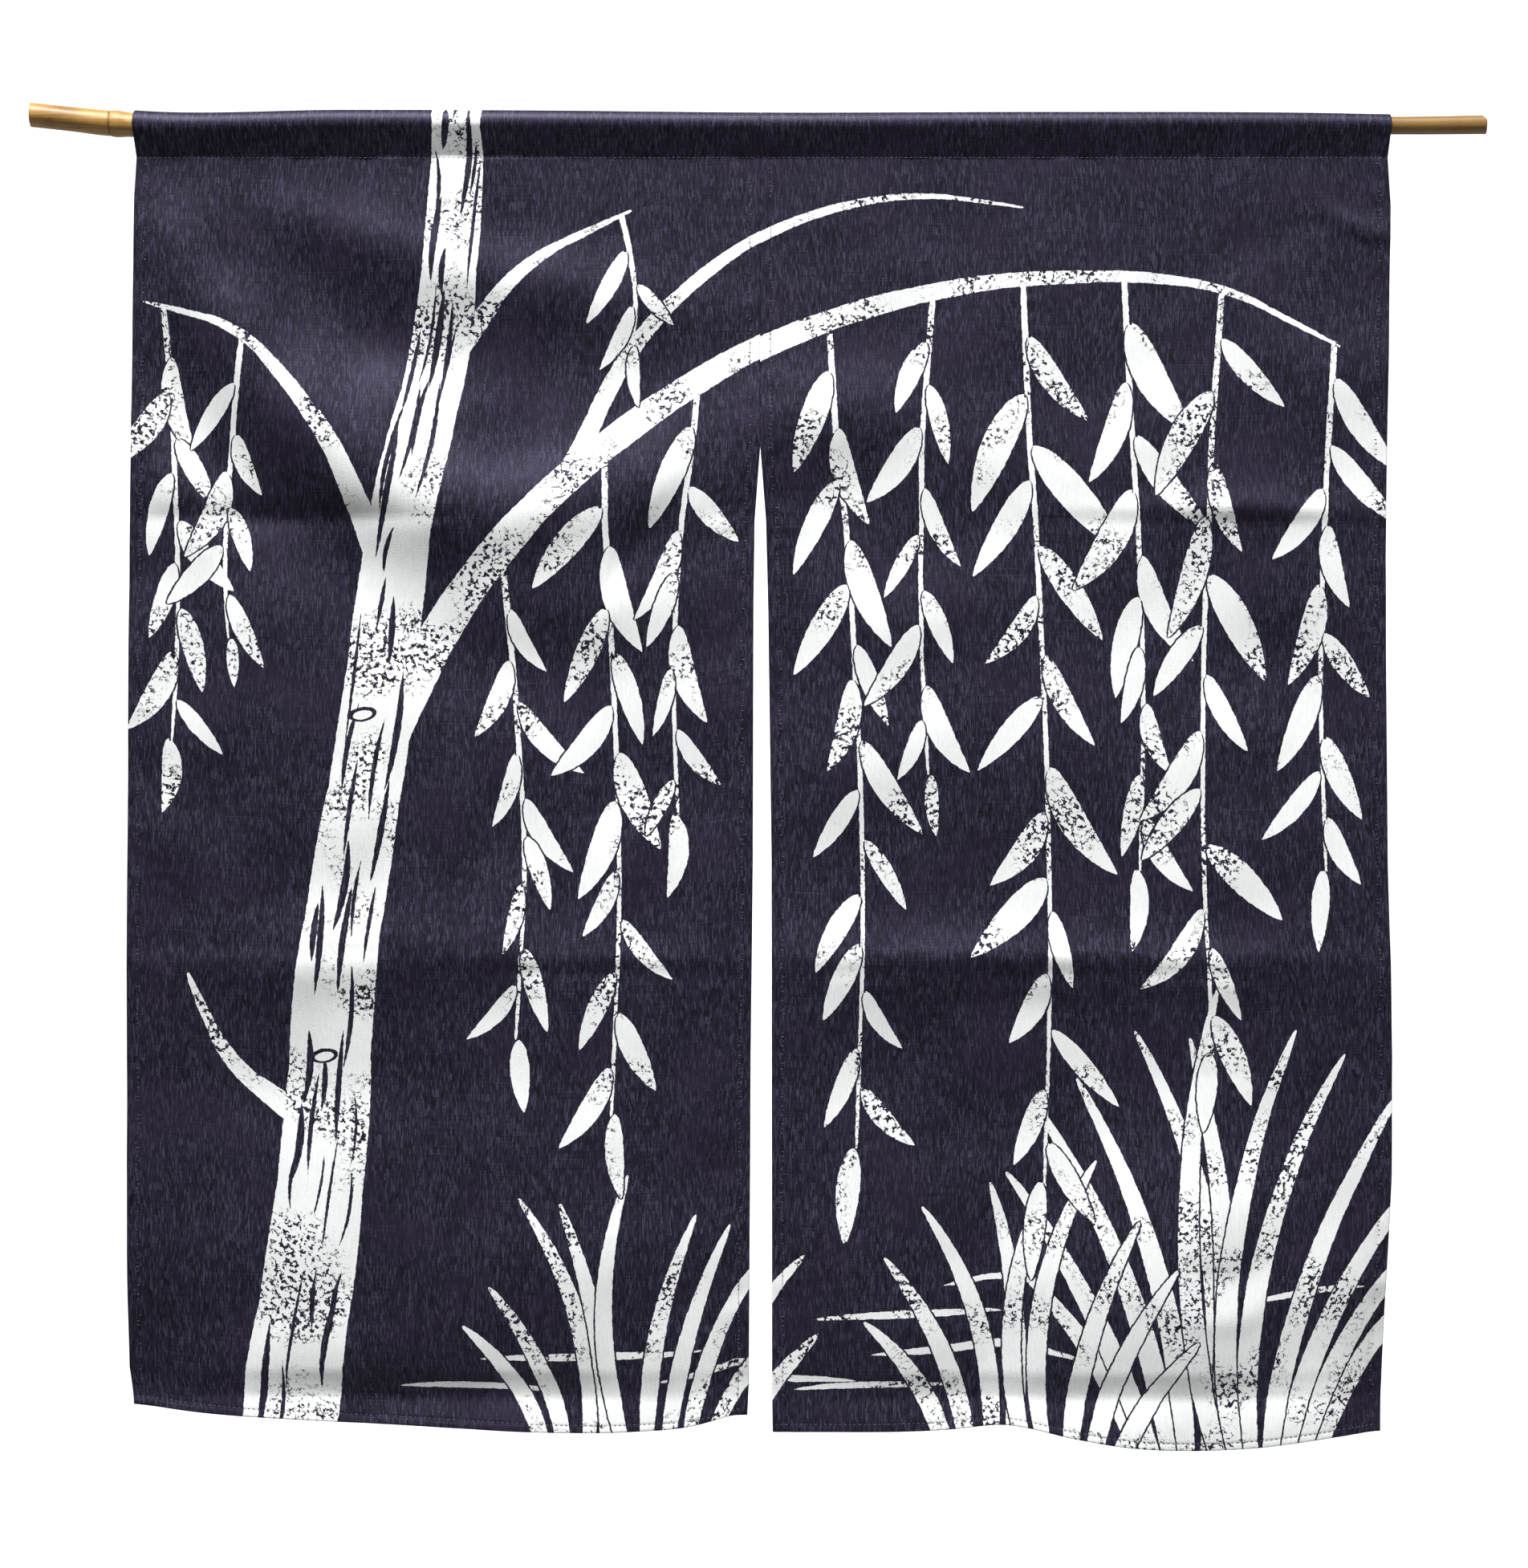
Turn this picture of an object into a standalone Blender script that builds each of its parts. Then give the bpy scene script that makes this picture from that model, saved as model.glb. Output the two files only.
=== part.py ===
"""Noren: a split doorway curtain of two sewn cloth panels, hung on a tapering bamboo rod.

Units are metres, +Z is up, +X runs along the rod and the printed front looks along -Y.
The origin is on the rod's axis at the middle of its length.

Each panel is one closed solid. Its sheet hangs from the sleeve stitching down to the hem,
and above the stitching it passes over the rod and comes back down, so that its section is
a teardrop with the rod inside. The hems are turned to the back and are part of the cloth.
"""

import math
from collections import namedtuple

import bmesh
import bpy
import numpy as np

# Cloth, as it is cut and sewn
CLOTH_THICKNESS = 0.0012
HEM_THICKNESS = 0.0024
SIDE_HEM = 0.008
BOTTOM_HEM = 0.0062
HEM_STEP = 0.0010
SLEEVE_CLEARANCE = 0.0003
SEAM_GAP = 0.0003
SEAM_X = 0.0016

# Heights of the sewn lines
STITCH_Z = -0.0220
SLEEVE_FUSE = 0.0020
SLIT_TOP_Z = -0.2160

# How far below the stitching the folds have grown to their full height
FOLD_GROWTH = 0.060
# Where the two panels are sewn together they bend as one, this far to each side
SEWN_WIDTH = 0.045
SEWN_FADE = 0.070

# Mesh steps
SHEET_COLUMNS = 19
SHEET_ROWS = 34
ARC_STEPS = 14
WALL_STEPS = 3
ROD_SIDES = 24
CREST_STEPS = 48
CREST_END_SHARE = 0.25
SLOPE_STEP = 0.0005
SMOOTH_ANGLE = math.radians(40)

# The rod's axis height and radius along its length
RodPoint = namedtuple("RodPoint", "x z radius")
ROD = (
    RodPoint(x=-0.4905, z=0.0070, radius=0.0082),
    RodPoint(x=-0.4640, z=0.0042, radius=0.0083),
    RodPoint(x=-0.4390, z=0.0014, radius=0.0086),
    RodPoint(x=-0.4200, z=0.0002, radius=0.0082),
    RodPoint(x=-0.2800, z=0.0012, radius=0.0076),
    RodPoint(x=-0.1500, z=0.0011, radius=0.0073),
    RodPoint(x=0.0000, z=0.0000, radius=0.0070),
    RodPoint(x=0.2000, z=0.0009, radius=0.0065),
    RodPoint(x=0.3800, z=0.0006, radius=0.0061),
    RodPoint(x=0.4300, z=-0.0002, radius=0.0060),
    RodPoint(x=0.4910, z=0.0003, radius=0.0063),
)
ROD_SPACING = 0.040

# The joint of the cane outside the sleeve: a groove, then a swollen ring that dies away
NODE_X = -0.4370
NODE_GROOVE = 0.0003
NODE_GROOVE_WIDTH = 0.0008
NODE_SWELL = 0.0006
NODE_SWELL_OFFSET = 0.0050
NODE_SWELL_WIDTH = 0.0045
NODE_STATIONS = (-0.0030, -0.0010, 0.0, 0.0010, 0.0030, 0.0050, 0.0080, 0.0120)

# The upright edges of the panels, from above the rod down to the hem
EdgePoint = namedtuple("EdgePoint", "z x")
LEFT_PANEL_OUTER = (
    EdgePoint(z=0.0120, x=-0.4200),
    EdgePoint(z=0.0000, x=-0.4208),
    EdgePoint(z=-0.0220, x=-0.4190),
    EdgePoint(z=-0.0470, x=-0.4205),
    EdgePoint(z=-0.2930, x=-0.4240),
    EdgePoint(z=-0.5920, x=-0.4258),
    EdgePoint(z=-0.8390, x=-0.4252),
    EdgePoint(z=-0.8700, x=-0.4215),
)
LEFT_PANEL_SLIT = (
    EdgePoint(z=0.0120, x=SEAM_X - SEAM_GAP / 2),
    EdgePoint(z=SLIT_TOP_Z, x=SEAM_X - SEAM_GAP / 2),
    EdgePoint(z=-0.2670, x=-0.0024),
    EdgePoint(z=-0.3270, x=-0.0032),
    EdgePoint(z=-0.4970, x=-0.0036),
    EdgePoint(z=-0.6190, x=-0.0050),
    EdgePoint(z=-0.8500, x=-0.0064),
    EdgePoint(z=-0.8800, x=-0.0078),
)
RIGHT_PANEL_SLIT = (
    EdgePoint(z=0.0120, x=SEAM_X + SEAM_GAP / 2),
    EdgePoint(z=SLIT_TOP_Z, x=SEAM_X + SEAM_GAP / 2),
    EdgePoint(z=-0.2670, x=0.0057),
    EdgePoint(z=-0.3270, x=0.0072),
    EdgePoint(z=-0.4970, x=0.0095),
    EdgePoint(z=-0.6190, x=0.0096),
    EdgePoint(z=-0.8500, x=0.0098),
    EdgePoint(z=-0.8850, x=0.0102),
)
RIGHT_PANEL_OUTER = (
    EdgePoint(z=0.0120, x=0.4262),
    EdgePoint(z=0.0000, x=0.4264),
    EdgePoint(z=-0.0220, x=0.4246),
    EdgePoint(z=-0.0540, x=0.4268),
    EdgePoint(z=-0.2930, x=0.4232),
    EdgePoint(z=-0.5000, x=0.4248),
    EdgePoint(z=-0.6300, x=0.4280),
    EdgePoint(z=-0.7100, x=0.4274),
    EdgePoint(z=-0.7900, x=0.4236),
    EdgePoint(z=-0.8850, x=0.4206),
)

# The lower edges, which rise where the cloth curls away
HemPoint = namedtuple("HemPoint", "x z")
LEFT_PANEL_HEM = (
    HemPoint(x=-0.4220, z=-0.8638),
    HemPoint(x=-0.3610, z=-0.8702),
    HemPoint(x=-0.2480, z=-0.8768),
    HemPoint(x=-0.0780, z=-0.8815),
    HemPoint(x=-0.0410, z=-0.8790),
    HemPoint(x=-0.0084, z=-0.8712),
)
RIGHT_PANEL_HEM = (
    HemPoint(x=0.0100, z=-0.8820),
    HemPoint(x=0.1290, z=-0.8803),
    HemPoint(x=0.1600, z=-0.8778),
    HemPoint(x=0.2140, z=-0.8872),
    HemPoint(x=0.2480, z=-0.8922),
    HemPoint(x=0.3360, z=-0.8924),
    HemPoint(x=0.3920, z=-0.8858),
    HemPoint(x=0.4220, z=-0.8822),
)

# Folds. A crest runs from a start through a middle to an end. Its height is towards the
# front, and a trough has a height below zero. Width is the half width of the fold.
Fold = namedtuple("Fold", "start middle end height width")
SHARED_FOLDS = (
    Fold(start=(-0.410, -0.030), middle=(-0.240, -0.245), end=(0.020, -0.200), height=0.0120, width=0.038),
    Fold(start=(-0.395, -0.125), middle=(-0.300, -0.290), end=(-0.120, -0.375), height=-0.0065, width=0.040),
    Fold(start=(-0.350, -0.028), middle=(-0.215, -0.092), end=(-0.020, -0.125), height=0.0055, width=0.024),
    Fold(start=(-0.385, -0.045), middle=(-0.255, -0.145), end=(-0.060, -0.170), height=-0.0050, width=0.028),
    Fold(start=(-0.020, -0.215), middle=(0.080, -0.195), end=(0.190, -0.245), height=0.0045, width=0.032),
    Fold(start=(-0.426, -0.264), middle=(-0.340, -0.266), end=(-0.240, -0.263), height=-0.0022, width=0.012),
)
LEFT_PANEL_FOLDS = (
    Fold(start=(-0.426, -0.566), middle=(-0.210, -0.563), end=(-0.010, -0.570), height=0.0045, width=0.024),
    Fold(start=(-0.426, -0.640), middle=(-0.260, -0.650), end=(-0.060, -0.630), height=-0.0050, width=0.048),
    Fold(start=(-0.426, -0.762), middle=(-0.230, -0.776), end=(-0.010, -0.758), height=0.0060, width=0.046),
    Fold(start=(-0.426, -0.848), middle=(-0.240, -0.856), end=(-0.010, -0.852), height=-0.0065, width=0.020),
    Fold(start=(-0.422, -0.872), middle=(-0.416, -0.850), end=(-0.408, -0.790), height=-0.0110, width=0.026),
    Fold(start=(-0.150, -0.560), middle=(-0.130, -0.740), end=(-0.100, -0.900), height=0.0060, width=0.060),
    Fold(start=(-0.340, -0.420), middle=(-0.330, -0.640), end=(-0.300, -0.880), height=-0.0040, width=0.060),
    Fold(start=(-0.020, -0.260), middle=(-0.012, -0.420), end=(-0.020, -0.640), height=0.0045, width=0.022),
    Fold(start=(-0.008, -0.800), middle=(-0.006, -0.850), end=(-0.010, -0.900), height=-0.0060, width=0.022),
)
RIGHT_PANEL_FOLDS = (
    Fold(start=(0.010, -0.565), middle=(0.200, -0.566), end=(0.430, -0.572), height=0.0060, width=0.022),
    Fold(start=(0.010, -0.648), middle=(0.170, -0.660), end=(0.430, -0.640), height=-0.0065, width=0.048),
    Fold(start=(0.010, -0.775), middle=(0.190, -0.790), end=(0.428, -0.770), height=0.0065, width=0.046),
    Fold(start=(0.010, -0.851), middle=(0.190, -0.857), end=(0.424, -0.850), height=-0.0060, width=0.020),
    Fold(start=(0.010, -0.430), middle=(0.120, -0.415), end=(0.260, -0.445), height=0.0040, width=0.050),
    Fold(start=(0.250, -0.262), middle=(0.340, -0.258), end=(0.428, -0.268), height=0.0030, width=0.014),
    Fold(start=(0.230, -0.340), middle=(0.330, -0.365), end=(0.428, -0.420), height=-0.0045, width=0.040),
    Fold(start=(0.376, -0.048), middle=(0.398, -0.066), end=(0.432, -0.074), height=0.0030, width=0.007),
    Fold(start=(0.300, -0.640), middle=(0.295, -0.780), end=(0.292, -0.910), height=0.0090, width=0.050),
    Fold(start=(0.165, -0.700), middle=(0.158, -0.800), end=(0.156, -0.910), height=-0.0070, width=0.036),
    Fold(start=(0.428, -0.780), middle=(0.424, -0.840), end=(0.418, -0.900), height=-0.0080, width=0.026),
    Fold(start=(0.022, -0.270), middle=(0.014, -0.430), end=(0.020, -0.600), height=-0.0040, width=0.024),
)

# Colour, roughness and metallic value of the plain finishes
INDIGO_CLOTH = ((0.028, 0.026, 0.044, 1.0), 0.88, 0.0)
GOLDEN_BAMBOO = ((0.440, 0.250, 0.090, 1.0), 0.38, 0.0)


def clear_scene():
    """Remove every object that the scene starts with."""
    for item in list(bpy.data.objects):
        bpy.data.objects.remove(item, do_unlink=True)


def smooth_table(places, values, at):
    """Cubic curve through (places, values) with ascending places, read at any array."""
    places = np.asarray(places, float)
    values = np.asarray(values, float)
    slopes = np.gradient(values, places)
    at = np.clip(at, places[0], places[-1])
    left = np.clip(np.searchsorted(places, at, side="right") - 1, 0, len(places) - 2)
    span = places[left + 1] - places[left]
    t = (at - places[left]) / span
    rise = values[left] * (2 * t**3 - 3 * t**2 + 1) + values[left + 1] * (3 * t**2 - 2 * t**3)
    lean = slopes[left] * (t**3 - 2 * t**2 + t) + slopes[left + 1] * (t**3 - t**2)
    return rise + lean * span


def smooth_step(value, low, high):
    """0 at low, 1 at high, with level ends."""
    t = np.clip((value - low) / (high - low), 0.0, 1.0)
    return t * t * (3 - 2 * t)


def rod_height(x):
    """Height of the rod's axis at x."""
    return smooth_table([p.x for p in ROD], [p.z for p in ROD], x)


def rod_radius(x):
    """Radius of the cane at x, without its joint."""
    return smooth_table([p.x for p in ROD], [p.radius for p in ROD], x)


def edge_x(edge, z):
    """Place of an upright edge at height z. Straight runs keep the seam's gap exact."""
    rows = edge[::-1]
    return np.interp(z, [p.z for p in rows], [p.x for p in rows])


def hem_z(hem, x):
    """Height of a panel's lower edge at x."""
    return smooth_table([p.x for p in hem], [p.z for p in hem], x)


def fold_height(fold, x, z):
    """Height that one fold adds at (x, z): a rounded ridge along a curved crest.

    The crest is the parabola through the fold's three points. The ridge falls off as a bell
    curve of the distance from the crest's nearest point, and tapers towards its two ends.
    """
    start, middle, end = (np.array(p) for p in (fold.start, fold.middle, fold.end))
    guide = 2 * middle - (start + end) / 2
    t = np.linspace(0.0, 1.0, CREST_STEPS)[:, None]
    crest = start * (1 - t) ** 2 + guide * 2 * t * (1 - t) + end * t**2
    away = np.hypot(x[..., None] - crest[:, 0], z[..., None] - crest[:, 1])
    nearest = away.argmin(axis=-1)
    distance = np.take_along_axis(away, nearest[..., None], axis=-1)[..., 0]
    along = t[nearest, 0]
    taper = CREST_END_SHARE + (1 - CREST_END_SHARE) * np.sin(math.pi * along)
    return fold.height * taper * np.exp(-((distance / fold.width) ** 2))


def cloth_height(own_folds, x, z):
    """How far the sheet stands towards the front at (x, z).

    Folds that both panels share carry on across the seam. A panel's own folds die out at
    the seam, where the two are sewn, and grow freely beside the slit below it.
    """
    shared = sum(fold_height(fold, x, z) for fold in SHARED_FOLDS)
    own = sum(fold_height(fold, x, z) for fold in own_folds)
    sewn = smooth_step(z, SLIT_TOP_Z - SEWN_FADE, SLIT_TOP_Z)
    sewn = sewn * np.exp(-(((x - SEAM_X) / SEWN_WIDTH) ** 2))
    grown = smooth_step(-z, -STITCH_Z, -STITCH_Z + FOLD_GROWTH)
    return grown * (shared + own * (1 - sewn))


def front_normals(own_folds, x, z):
    """Unit normals of the sheet, towards the front, from the slope of its height."""
    right = cloth_height(own_folds, x + SLOPE_STEP, z) - cloth_height(own_folds, x - SLOPE_STEP, z)
    up = cloth_height(own_folds, x, z + SLOPE_STEP) - cloth_height(own_folds, x, z - SLOPE_STEP)
    slopes = np.stack([-right / (2 * SLOPE_STEP), -np.ones_like(x), -up / (2 * SLOPE_STEP)], axis=-1)
    return slopes / np.linalg.norm(slopes, axis=-1, keepdims=True)


def column_shares(width):
    """Places across a panel, 0 to 1, with extra columns where the side hems step."""
    hem = SIDE_HEM / width
    step = (SIDE_HEM + HEM_STEP) / width
    middle = np.linspace(step, 1 - step, SHEET_COLUMNS)
    return np.concatenate([[0.0, hem], middle, [1 - hem, 1.0]])


def row_shares(length):
    """Places down a panel, 0 at the stitching and 1 at the lower edge."""
    hem = 1 - BOTTOM_HEM / length
    step = 1 - (BOTTOM_HEM + HEM_STEP) / length
    return np.concatenate([np.linspace(0.0, step, SHEET_ROWS), [hem, 1.0]])


def sheet_points(panel, shares_across, shares_down):
    """Front and back points of the hanging sheet, as arrays of rows by columns."""
    nominal = edge_x(panel.first_edge, STITCH_Z) * (1 - shares_across)
    nominal = nominal + edge_x(panel.last_edge, STITCH_Z) * shares_across
    z = STITCH_Z + shares_down[:, None] * (hem_z(panel.hem, nominal) - STITCH_Z)
    x = edge_x(panel.first_edge, z) * (1 - shares_across) + edge_x(panel.last_edge, z) * shares_across
    middle = np.stack([x, -cloth_height(panel.folds, x, z), z], axis=-1)
    normals = front_normals(panel.folds, x, z)
    thick = np.full_like(x, CLOTH_THICKNESS)
    thick[:, :2] = HEM_THICKNESS
    thick[:, -2:] = HEM_THICKNESS
    thick[-2:, :] = HEM_THICKNESS
    front = middle + normals * CLOTH_THICKNESS / 2
    back = front - normals * thick[..., None]
    return front, back


def sleeve_points(panel, shares_across):
    """Inner and outer points of the teardrop sleeve, as arrays of steps by columns.

    From the fused point under the rod the wall runs straight to the front tangent, round
    over the rod to the back tangent, and straight down again.
    """
    nominal = edge_x(panel.first_edge, 0.0) * (1 - shares_across)
    nominal = nominal + edge_x(panel.last_edge, 0.0) * shares_across
    centre = rod_height(nominal)
    radius = rod_radius(nominal) + SLEEVE_CLEARANCE
    low = STITCH_Z + SLEEVE_FUSE
    drop = centre - low
    lean = np.arcsin(radius / drop)
    sweep = math.pi + 2 * lean
    corner = radius / np.cos(sweep / ARC_STEPS / 2)
    turn = np.linspace(0.0, 1.0, ARC_STEPS + 1)[:, None]
    angle = math.pi + lean - turn * sweep
    outward = np.stack([np.cos(angle), np.sin(angle)], axis=-1)
    arc = outward * corner[:, None]
    arc[..., 1] += centre
    foot = np.stack([np.zeros_like(centre), np.full_like(centre, low)], axis=-1)
    climb = (np.arange(WALL_STEPS) / WALL_STEPS)[:, None, None]
    inner = np.concatenate([foot + climb * (arc[0] - foot), arc, foot + climb[:0:-1] * (arc[-1] - foot)])
    away = np.concatenate([
        np.repeat(outward[:1], WALL_STEPS, axis=0),
        outward,
        np.repeat(outward[-1:], WALL_STEPS - 1, axis=0),
    ])
    outer = inner + away * CLOTH_THICKNESS
    return place_across(panel, shares_across, inner), place_across(panel, shares_across, outer)


def place_across(panel, shares_across, section):
    """Add the x of each column to points that hold only y and z."""
    z = section[..., 1]
    x = edge_x(panel.first_edge, z) * (1 - shares_across) + edge_x(panel.last_edge, z) * shares_across
    return np.concatenate([x[..., None], section], axis=-1)


def strip_faces(upper, lower):
    """Quads between two equal rows of point numbers."""
    return list(zip(upper[:-1], upper[1:], lower[1:], lower[:-1]))


def panel_mesh(panel):
    """Closed mesh of one panel: hanging sheet, sleeve walls, lower edge and side edges."""
    width = panel.last_edge[0].x - panel.first_edge[0].x
    shares_across = column_shares(width)
    shares_down = row_shares(STITCH_Z - panel.hem[0].z)
    front, back = sheet_points(panel, shares_across, shares_down)
    inner, outer = sleeve_points(panel, shares_across)
    outer = outer[1:]
    blocks = (front, back, inner, outer)
    starts = np.cumsum([0] + [block.shape[0] * block.shape[1] for block in blocks])
    numbers = [
        np.arange(starts[i], starts[i + 1]).reshape(block.shape[:2]).tolist()
        for i, block in enumerate(blocks)
    ]
    front_rows, back_rows, inner_rows, outer_rows = numbers
    outside = front_rows[::-1] + outer_rows + back_rows
    inside = inner_rows + inner_rows[:1]
    faces = []
    for upper, lower in zip(outside, outside[1:] + outside[:1]):
        faces += strip_faces(upper, lower)
    for upper, lower in zip(inside, inside[1:]):
        faces += strip_faces(upper, lower)
    wall_outside = front_rows[:1] + outer_rows + back_rows[:1]
    for side in (0, -1):
        for upper in range(len(front_rows) - 1):
            lower = upper + 1
            faces.append((front_rows[upper][side], front_rows[lower][side],
                          back_rows[lower][side], back_rows[upper][side]))
        for step in range(len(wall_outside) - 1):
            faces.append((wall_outside[step][side], wall_outside[step + 1][side],
                          inside[step + 1][side], inside[step][side]))
        faces.append((front_rows[0][side], inner_rows[0][side], back_rows[0][side]))
    points = np.concatenate([block.reshape(-1, 3) for block in blocks])
    return closed_mesh(panel.name, points, faces)


def node_profile(x):
    """What the cane's joint adds to its radius at x."""
    groove = NODE_GROOVE * np.exp(-(((x - NODE_X) / NODE_GROOVE_WIDTH) ** 2))
    swell = NODE_SWELL * np.exp(-(((x - NODE_X - NODE_SWELL_OFFSET) / NODE_SWELL_WIDTH) ** 2))
    return swell - groove


def rod_mesh(name):
    """Closed mesh of the cane: upright rings along its bowed axis, with flat cut ends."""
    steps = round((ROD[-1].x - ROD[0].x) / ROD_SPACING)
    even = np.linspace(ROD[0].x, ROD[-1].x, steps + 1)
    even = even[np.abs(even - NODE_X) > NODE_STATIONS[-1]]
    x = np.sort(np.concatenate([even, NODE_X + np.array(NODE_STATIONS)]))
    radius = rod_radius(x) + node_profile(x)
    turn = np.arange(ROD_SIDES) * 2 * math.pi / ROD_SIDES
    y = radius[:, None] * np.cos(turn)
    z = rod_height(x)[:, None] + radius[:, None] * np.sin(turn)
    points = np.stack([np.broadcast_to(x[:, None], y.shape), y, z], axis=-1).reshape(-1, 3)
    rings = np.arange(len(points)).reshape(len(x), ROD_SIDES).tolist()
    faces = []
    for ring, following in zip(rings, rings[1:]):
        faces += strip_faces(ring + ring[:1], following + following[:1])
    faces += [tuple(rings[0]), tuple(rings[-1])]
    return closed_mesh(name, points, faces)


def closed_mesh(name, points, faces):
    """Mesh from points and faces, with its normals turned outwards and smooth shading."""
    mesh = bpy.data.meshes.new(name)
    mesh.from_pydata(points.tolist(), [], faces)
    work = bmesh.new()
    work.from_mesh(mesh)
    bmesh.ops.recalc_face_normals(work, faces=work.faces[:])
    work.to_mesh(mesh)
    work.free()
    mesh.shade_smooth()
    mesh.set_sharp_from_angle(angle=SMOOTH_ANGLE)
    return mesh


def plain_material(name, finish):
    """Principled material of one colour, roughness and metallic value."""
    colour, roughness, metallic = finish
    material = bpy.data.materials.new(name)
    material.use_nodes = True
    shader = material.node_tree.nodes["Principled BSDF"]
    shader.inputs["Base Color"].default_value = colour
    shader.inputs["Roughness"].default_value = roughness
    shader.inputs["Metallic"].default_value = metallic
    return material


def add_object(name, mesh, material):
    """Put a mesh into the scene as a named object with its material."""
    mesh.materials.append(material)
    item = bpy.data.objects.new(name, mesh)
    bpy.context.scene.collection.objects.link(item)
    return item


Panel = namedtuple("Panel", "name first_edge last_edge hem folds")
PANELS = (
    Panel("panel_left", LEFT_PANEL_OUTER, LEFT_PANEL_SLIT, LEFT_PANEL_HEM, LEFT_PANEL_FOLDS),
    Panel("panel_right", RIGHT_PANEL_SLIT, RIGHT_PANEL_OUTER, RIGHT_PANEL_HEM, RIGHT_PANEL_FOLDS),
)


def main():
    """Build the rod and the two panels that hang from it."""
    clear_scene()
    rod = add_object("rod", rod_mesh("rod"), plain_material("bamboo", GOLDEN_BAMBOO))
    for panel in PANELS:
        cloth = add_object(panel.name, panel_mesh(panel), plain_material(panel.name + "_cloth", INDIGO_CLOTH))
        cloth.parent = rod


main()
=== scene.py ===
"""Noren: two sewn panels of printed slub cotton that hang from a tapering bamboo cane.

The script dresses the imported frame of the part. Lengths are metres, +Z is up, +X runs along
the cane and the printed front looks along -Y. The origin is on the cane's axis at the middle
of its length.
"""

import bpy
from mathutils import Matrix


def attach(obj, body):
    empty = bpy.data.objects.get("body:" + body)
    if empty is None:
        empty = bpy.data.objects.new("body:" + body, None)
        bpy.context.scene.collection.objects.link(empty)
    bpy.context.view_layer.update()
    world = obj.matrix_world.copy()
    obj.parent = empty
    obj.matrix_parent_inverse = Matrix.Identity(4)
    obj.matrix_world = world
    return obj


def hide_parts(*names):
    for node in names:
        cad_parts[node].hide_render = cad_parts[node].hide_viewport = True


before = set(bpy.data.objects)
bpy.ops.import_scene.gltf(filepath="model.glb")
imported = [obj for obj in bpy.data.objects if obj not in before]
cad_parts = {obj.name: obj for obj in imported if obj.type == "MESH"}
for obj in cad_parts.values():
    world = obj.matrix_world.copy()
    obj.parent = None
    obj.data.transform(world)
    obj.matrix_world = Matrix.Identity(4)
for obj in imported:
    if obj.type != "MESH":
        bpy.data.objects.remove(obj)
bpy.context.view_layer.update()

import logging
import math
from collections.abc import Callable
from dataclasses import dataclass
from enum import Enum

import bpy
import numpy as np

LOG = logging.getLogger("noren")
BODY = "root"
MM = 0.001

Array = np.ndarray
Pair = tuple[float, float]


# Small tools shared by every piece


def linear(code: str) -> tuple[float, float, float, float]:
    """Turn an sRGB hex colour into the linear colour that a shader takes.

    Args:
        code: Six hex digits, such as "2F2D3B".

    Returns:
        Linear red, green and blue, and an alpha of 1.
    """
    parts = [int(code[i:i + 2], 16) / 255 for i in (0, 2, 4)]
    bent = [p / 12.92 if p <= 0.04045 else ((p + 0.055) / 1.055) ** 2.4 for p in parts]
    return bent[0], bent[1], bent[2], 1.0


def unit(vectors: Array) -> Array:
    """Vectors of length one along the last axis."""
    return vectors / np.linalg.norm(vectors, axis=-1, keepdims=True)


def smooth_step(value: Array, low: float, high: float) -> Array:
    """Rise from 0 at low to 1 at high with level ends: t * t * (3 - 2 t)."""
    t = np.clip((value - low) / (high - low), 0.0, 1.0)
    return t * t * (3 - 2 * t)


def smooth_table(places: list[float], values: list[float], at: Array) -> Array:
    """Read a cubic curve that passes through every (place, value) pair.

    Between two places the curve is the Hermite cubic of their values and slopes.

    Args:
        places: Ascending places.
        values: The curve's value at each place.
        at: Places to read, of any shape.

    Returns:
        The curve's values there.
    """
    knots = np.asarray(places, float)
    heights = np.asarray(values, float)
    slopes = np.gradient(heights, knots)
    at = np.clip(at, knots[0], knots[-1])
    left = np.clip(np.searchsorted(knots, at, side="right") - 1, 0, len(knots) - 2)
    span = knots[left + 1] - knots[left]
    t = (at - knots[left]) / span
    rise = heights[left] * (2 * t**3 - 3 * t**2 + 1) + heights[left + 1] * (3 * t**2 - 2 * t**3)
    lean = slopes[left] * (t**3 - 2 * t**2 + t) + slopes[left + 1] * (t**3 - t**2)
    return rise + lean * span


def new_piece(name: str, points: Array, faces: list, materials: list) -> bpy.types.Object:
    """Make a smooth-shaded object whose place is in its mesh.

    Args:
        name: The object's name.
        points: Vertex places, one row each.
        faces: Vertex numbers of each face, turned outwards.
        materials: Its material slots.

    Returns:
        The linked object.
    """
    mesh = bpy.data.meshes.new(name)
    mesh.from_pydata(points.reshape(-1, 3).tolist(), [], faces)
    mesh.shade_smooth()
    for material in materials:
        mesh.materials.append(material)
    item = bpy.data.objects.new(name, mesh)
    bpy.context.scene.collection.objects.link(item)
    return item


def grid_quads(numbers: Array) -> Array:
    """Quads of a grid of vertex numbers, turned (down, right) so that they face -Y."""
    corners = [numbers[:-1, :-1], numbers[1:, :-1], numbers[1:, 1:], numbers[:-1, 1:]]
    return np.stack(corners, -1).reshape(-1, 4)


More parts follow.
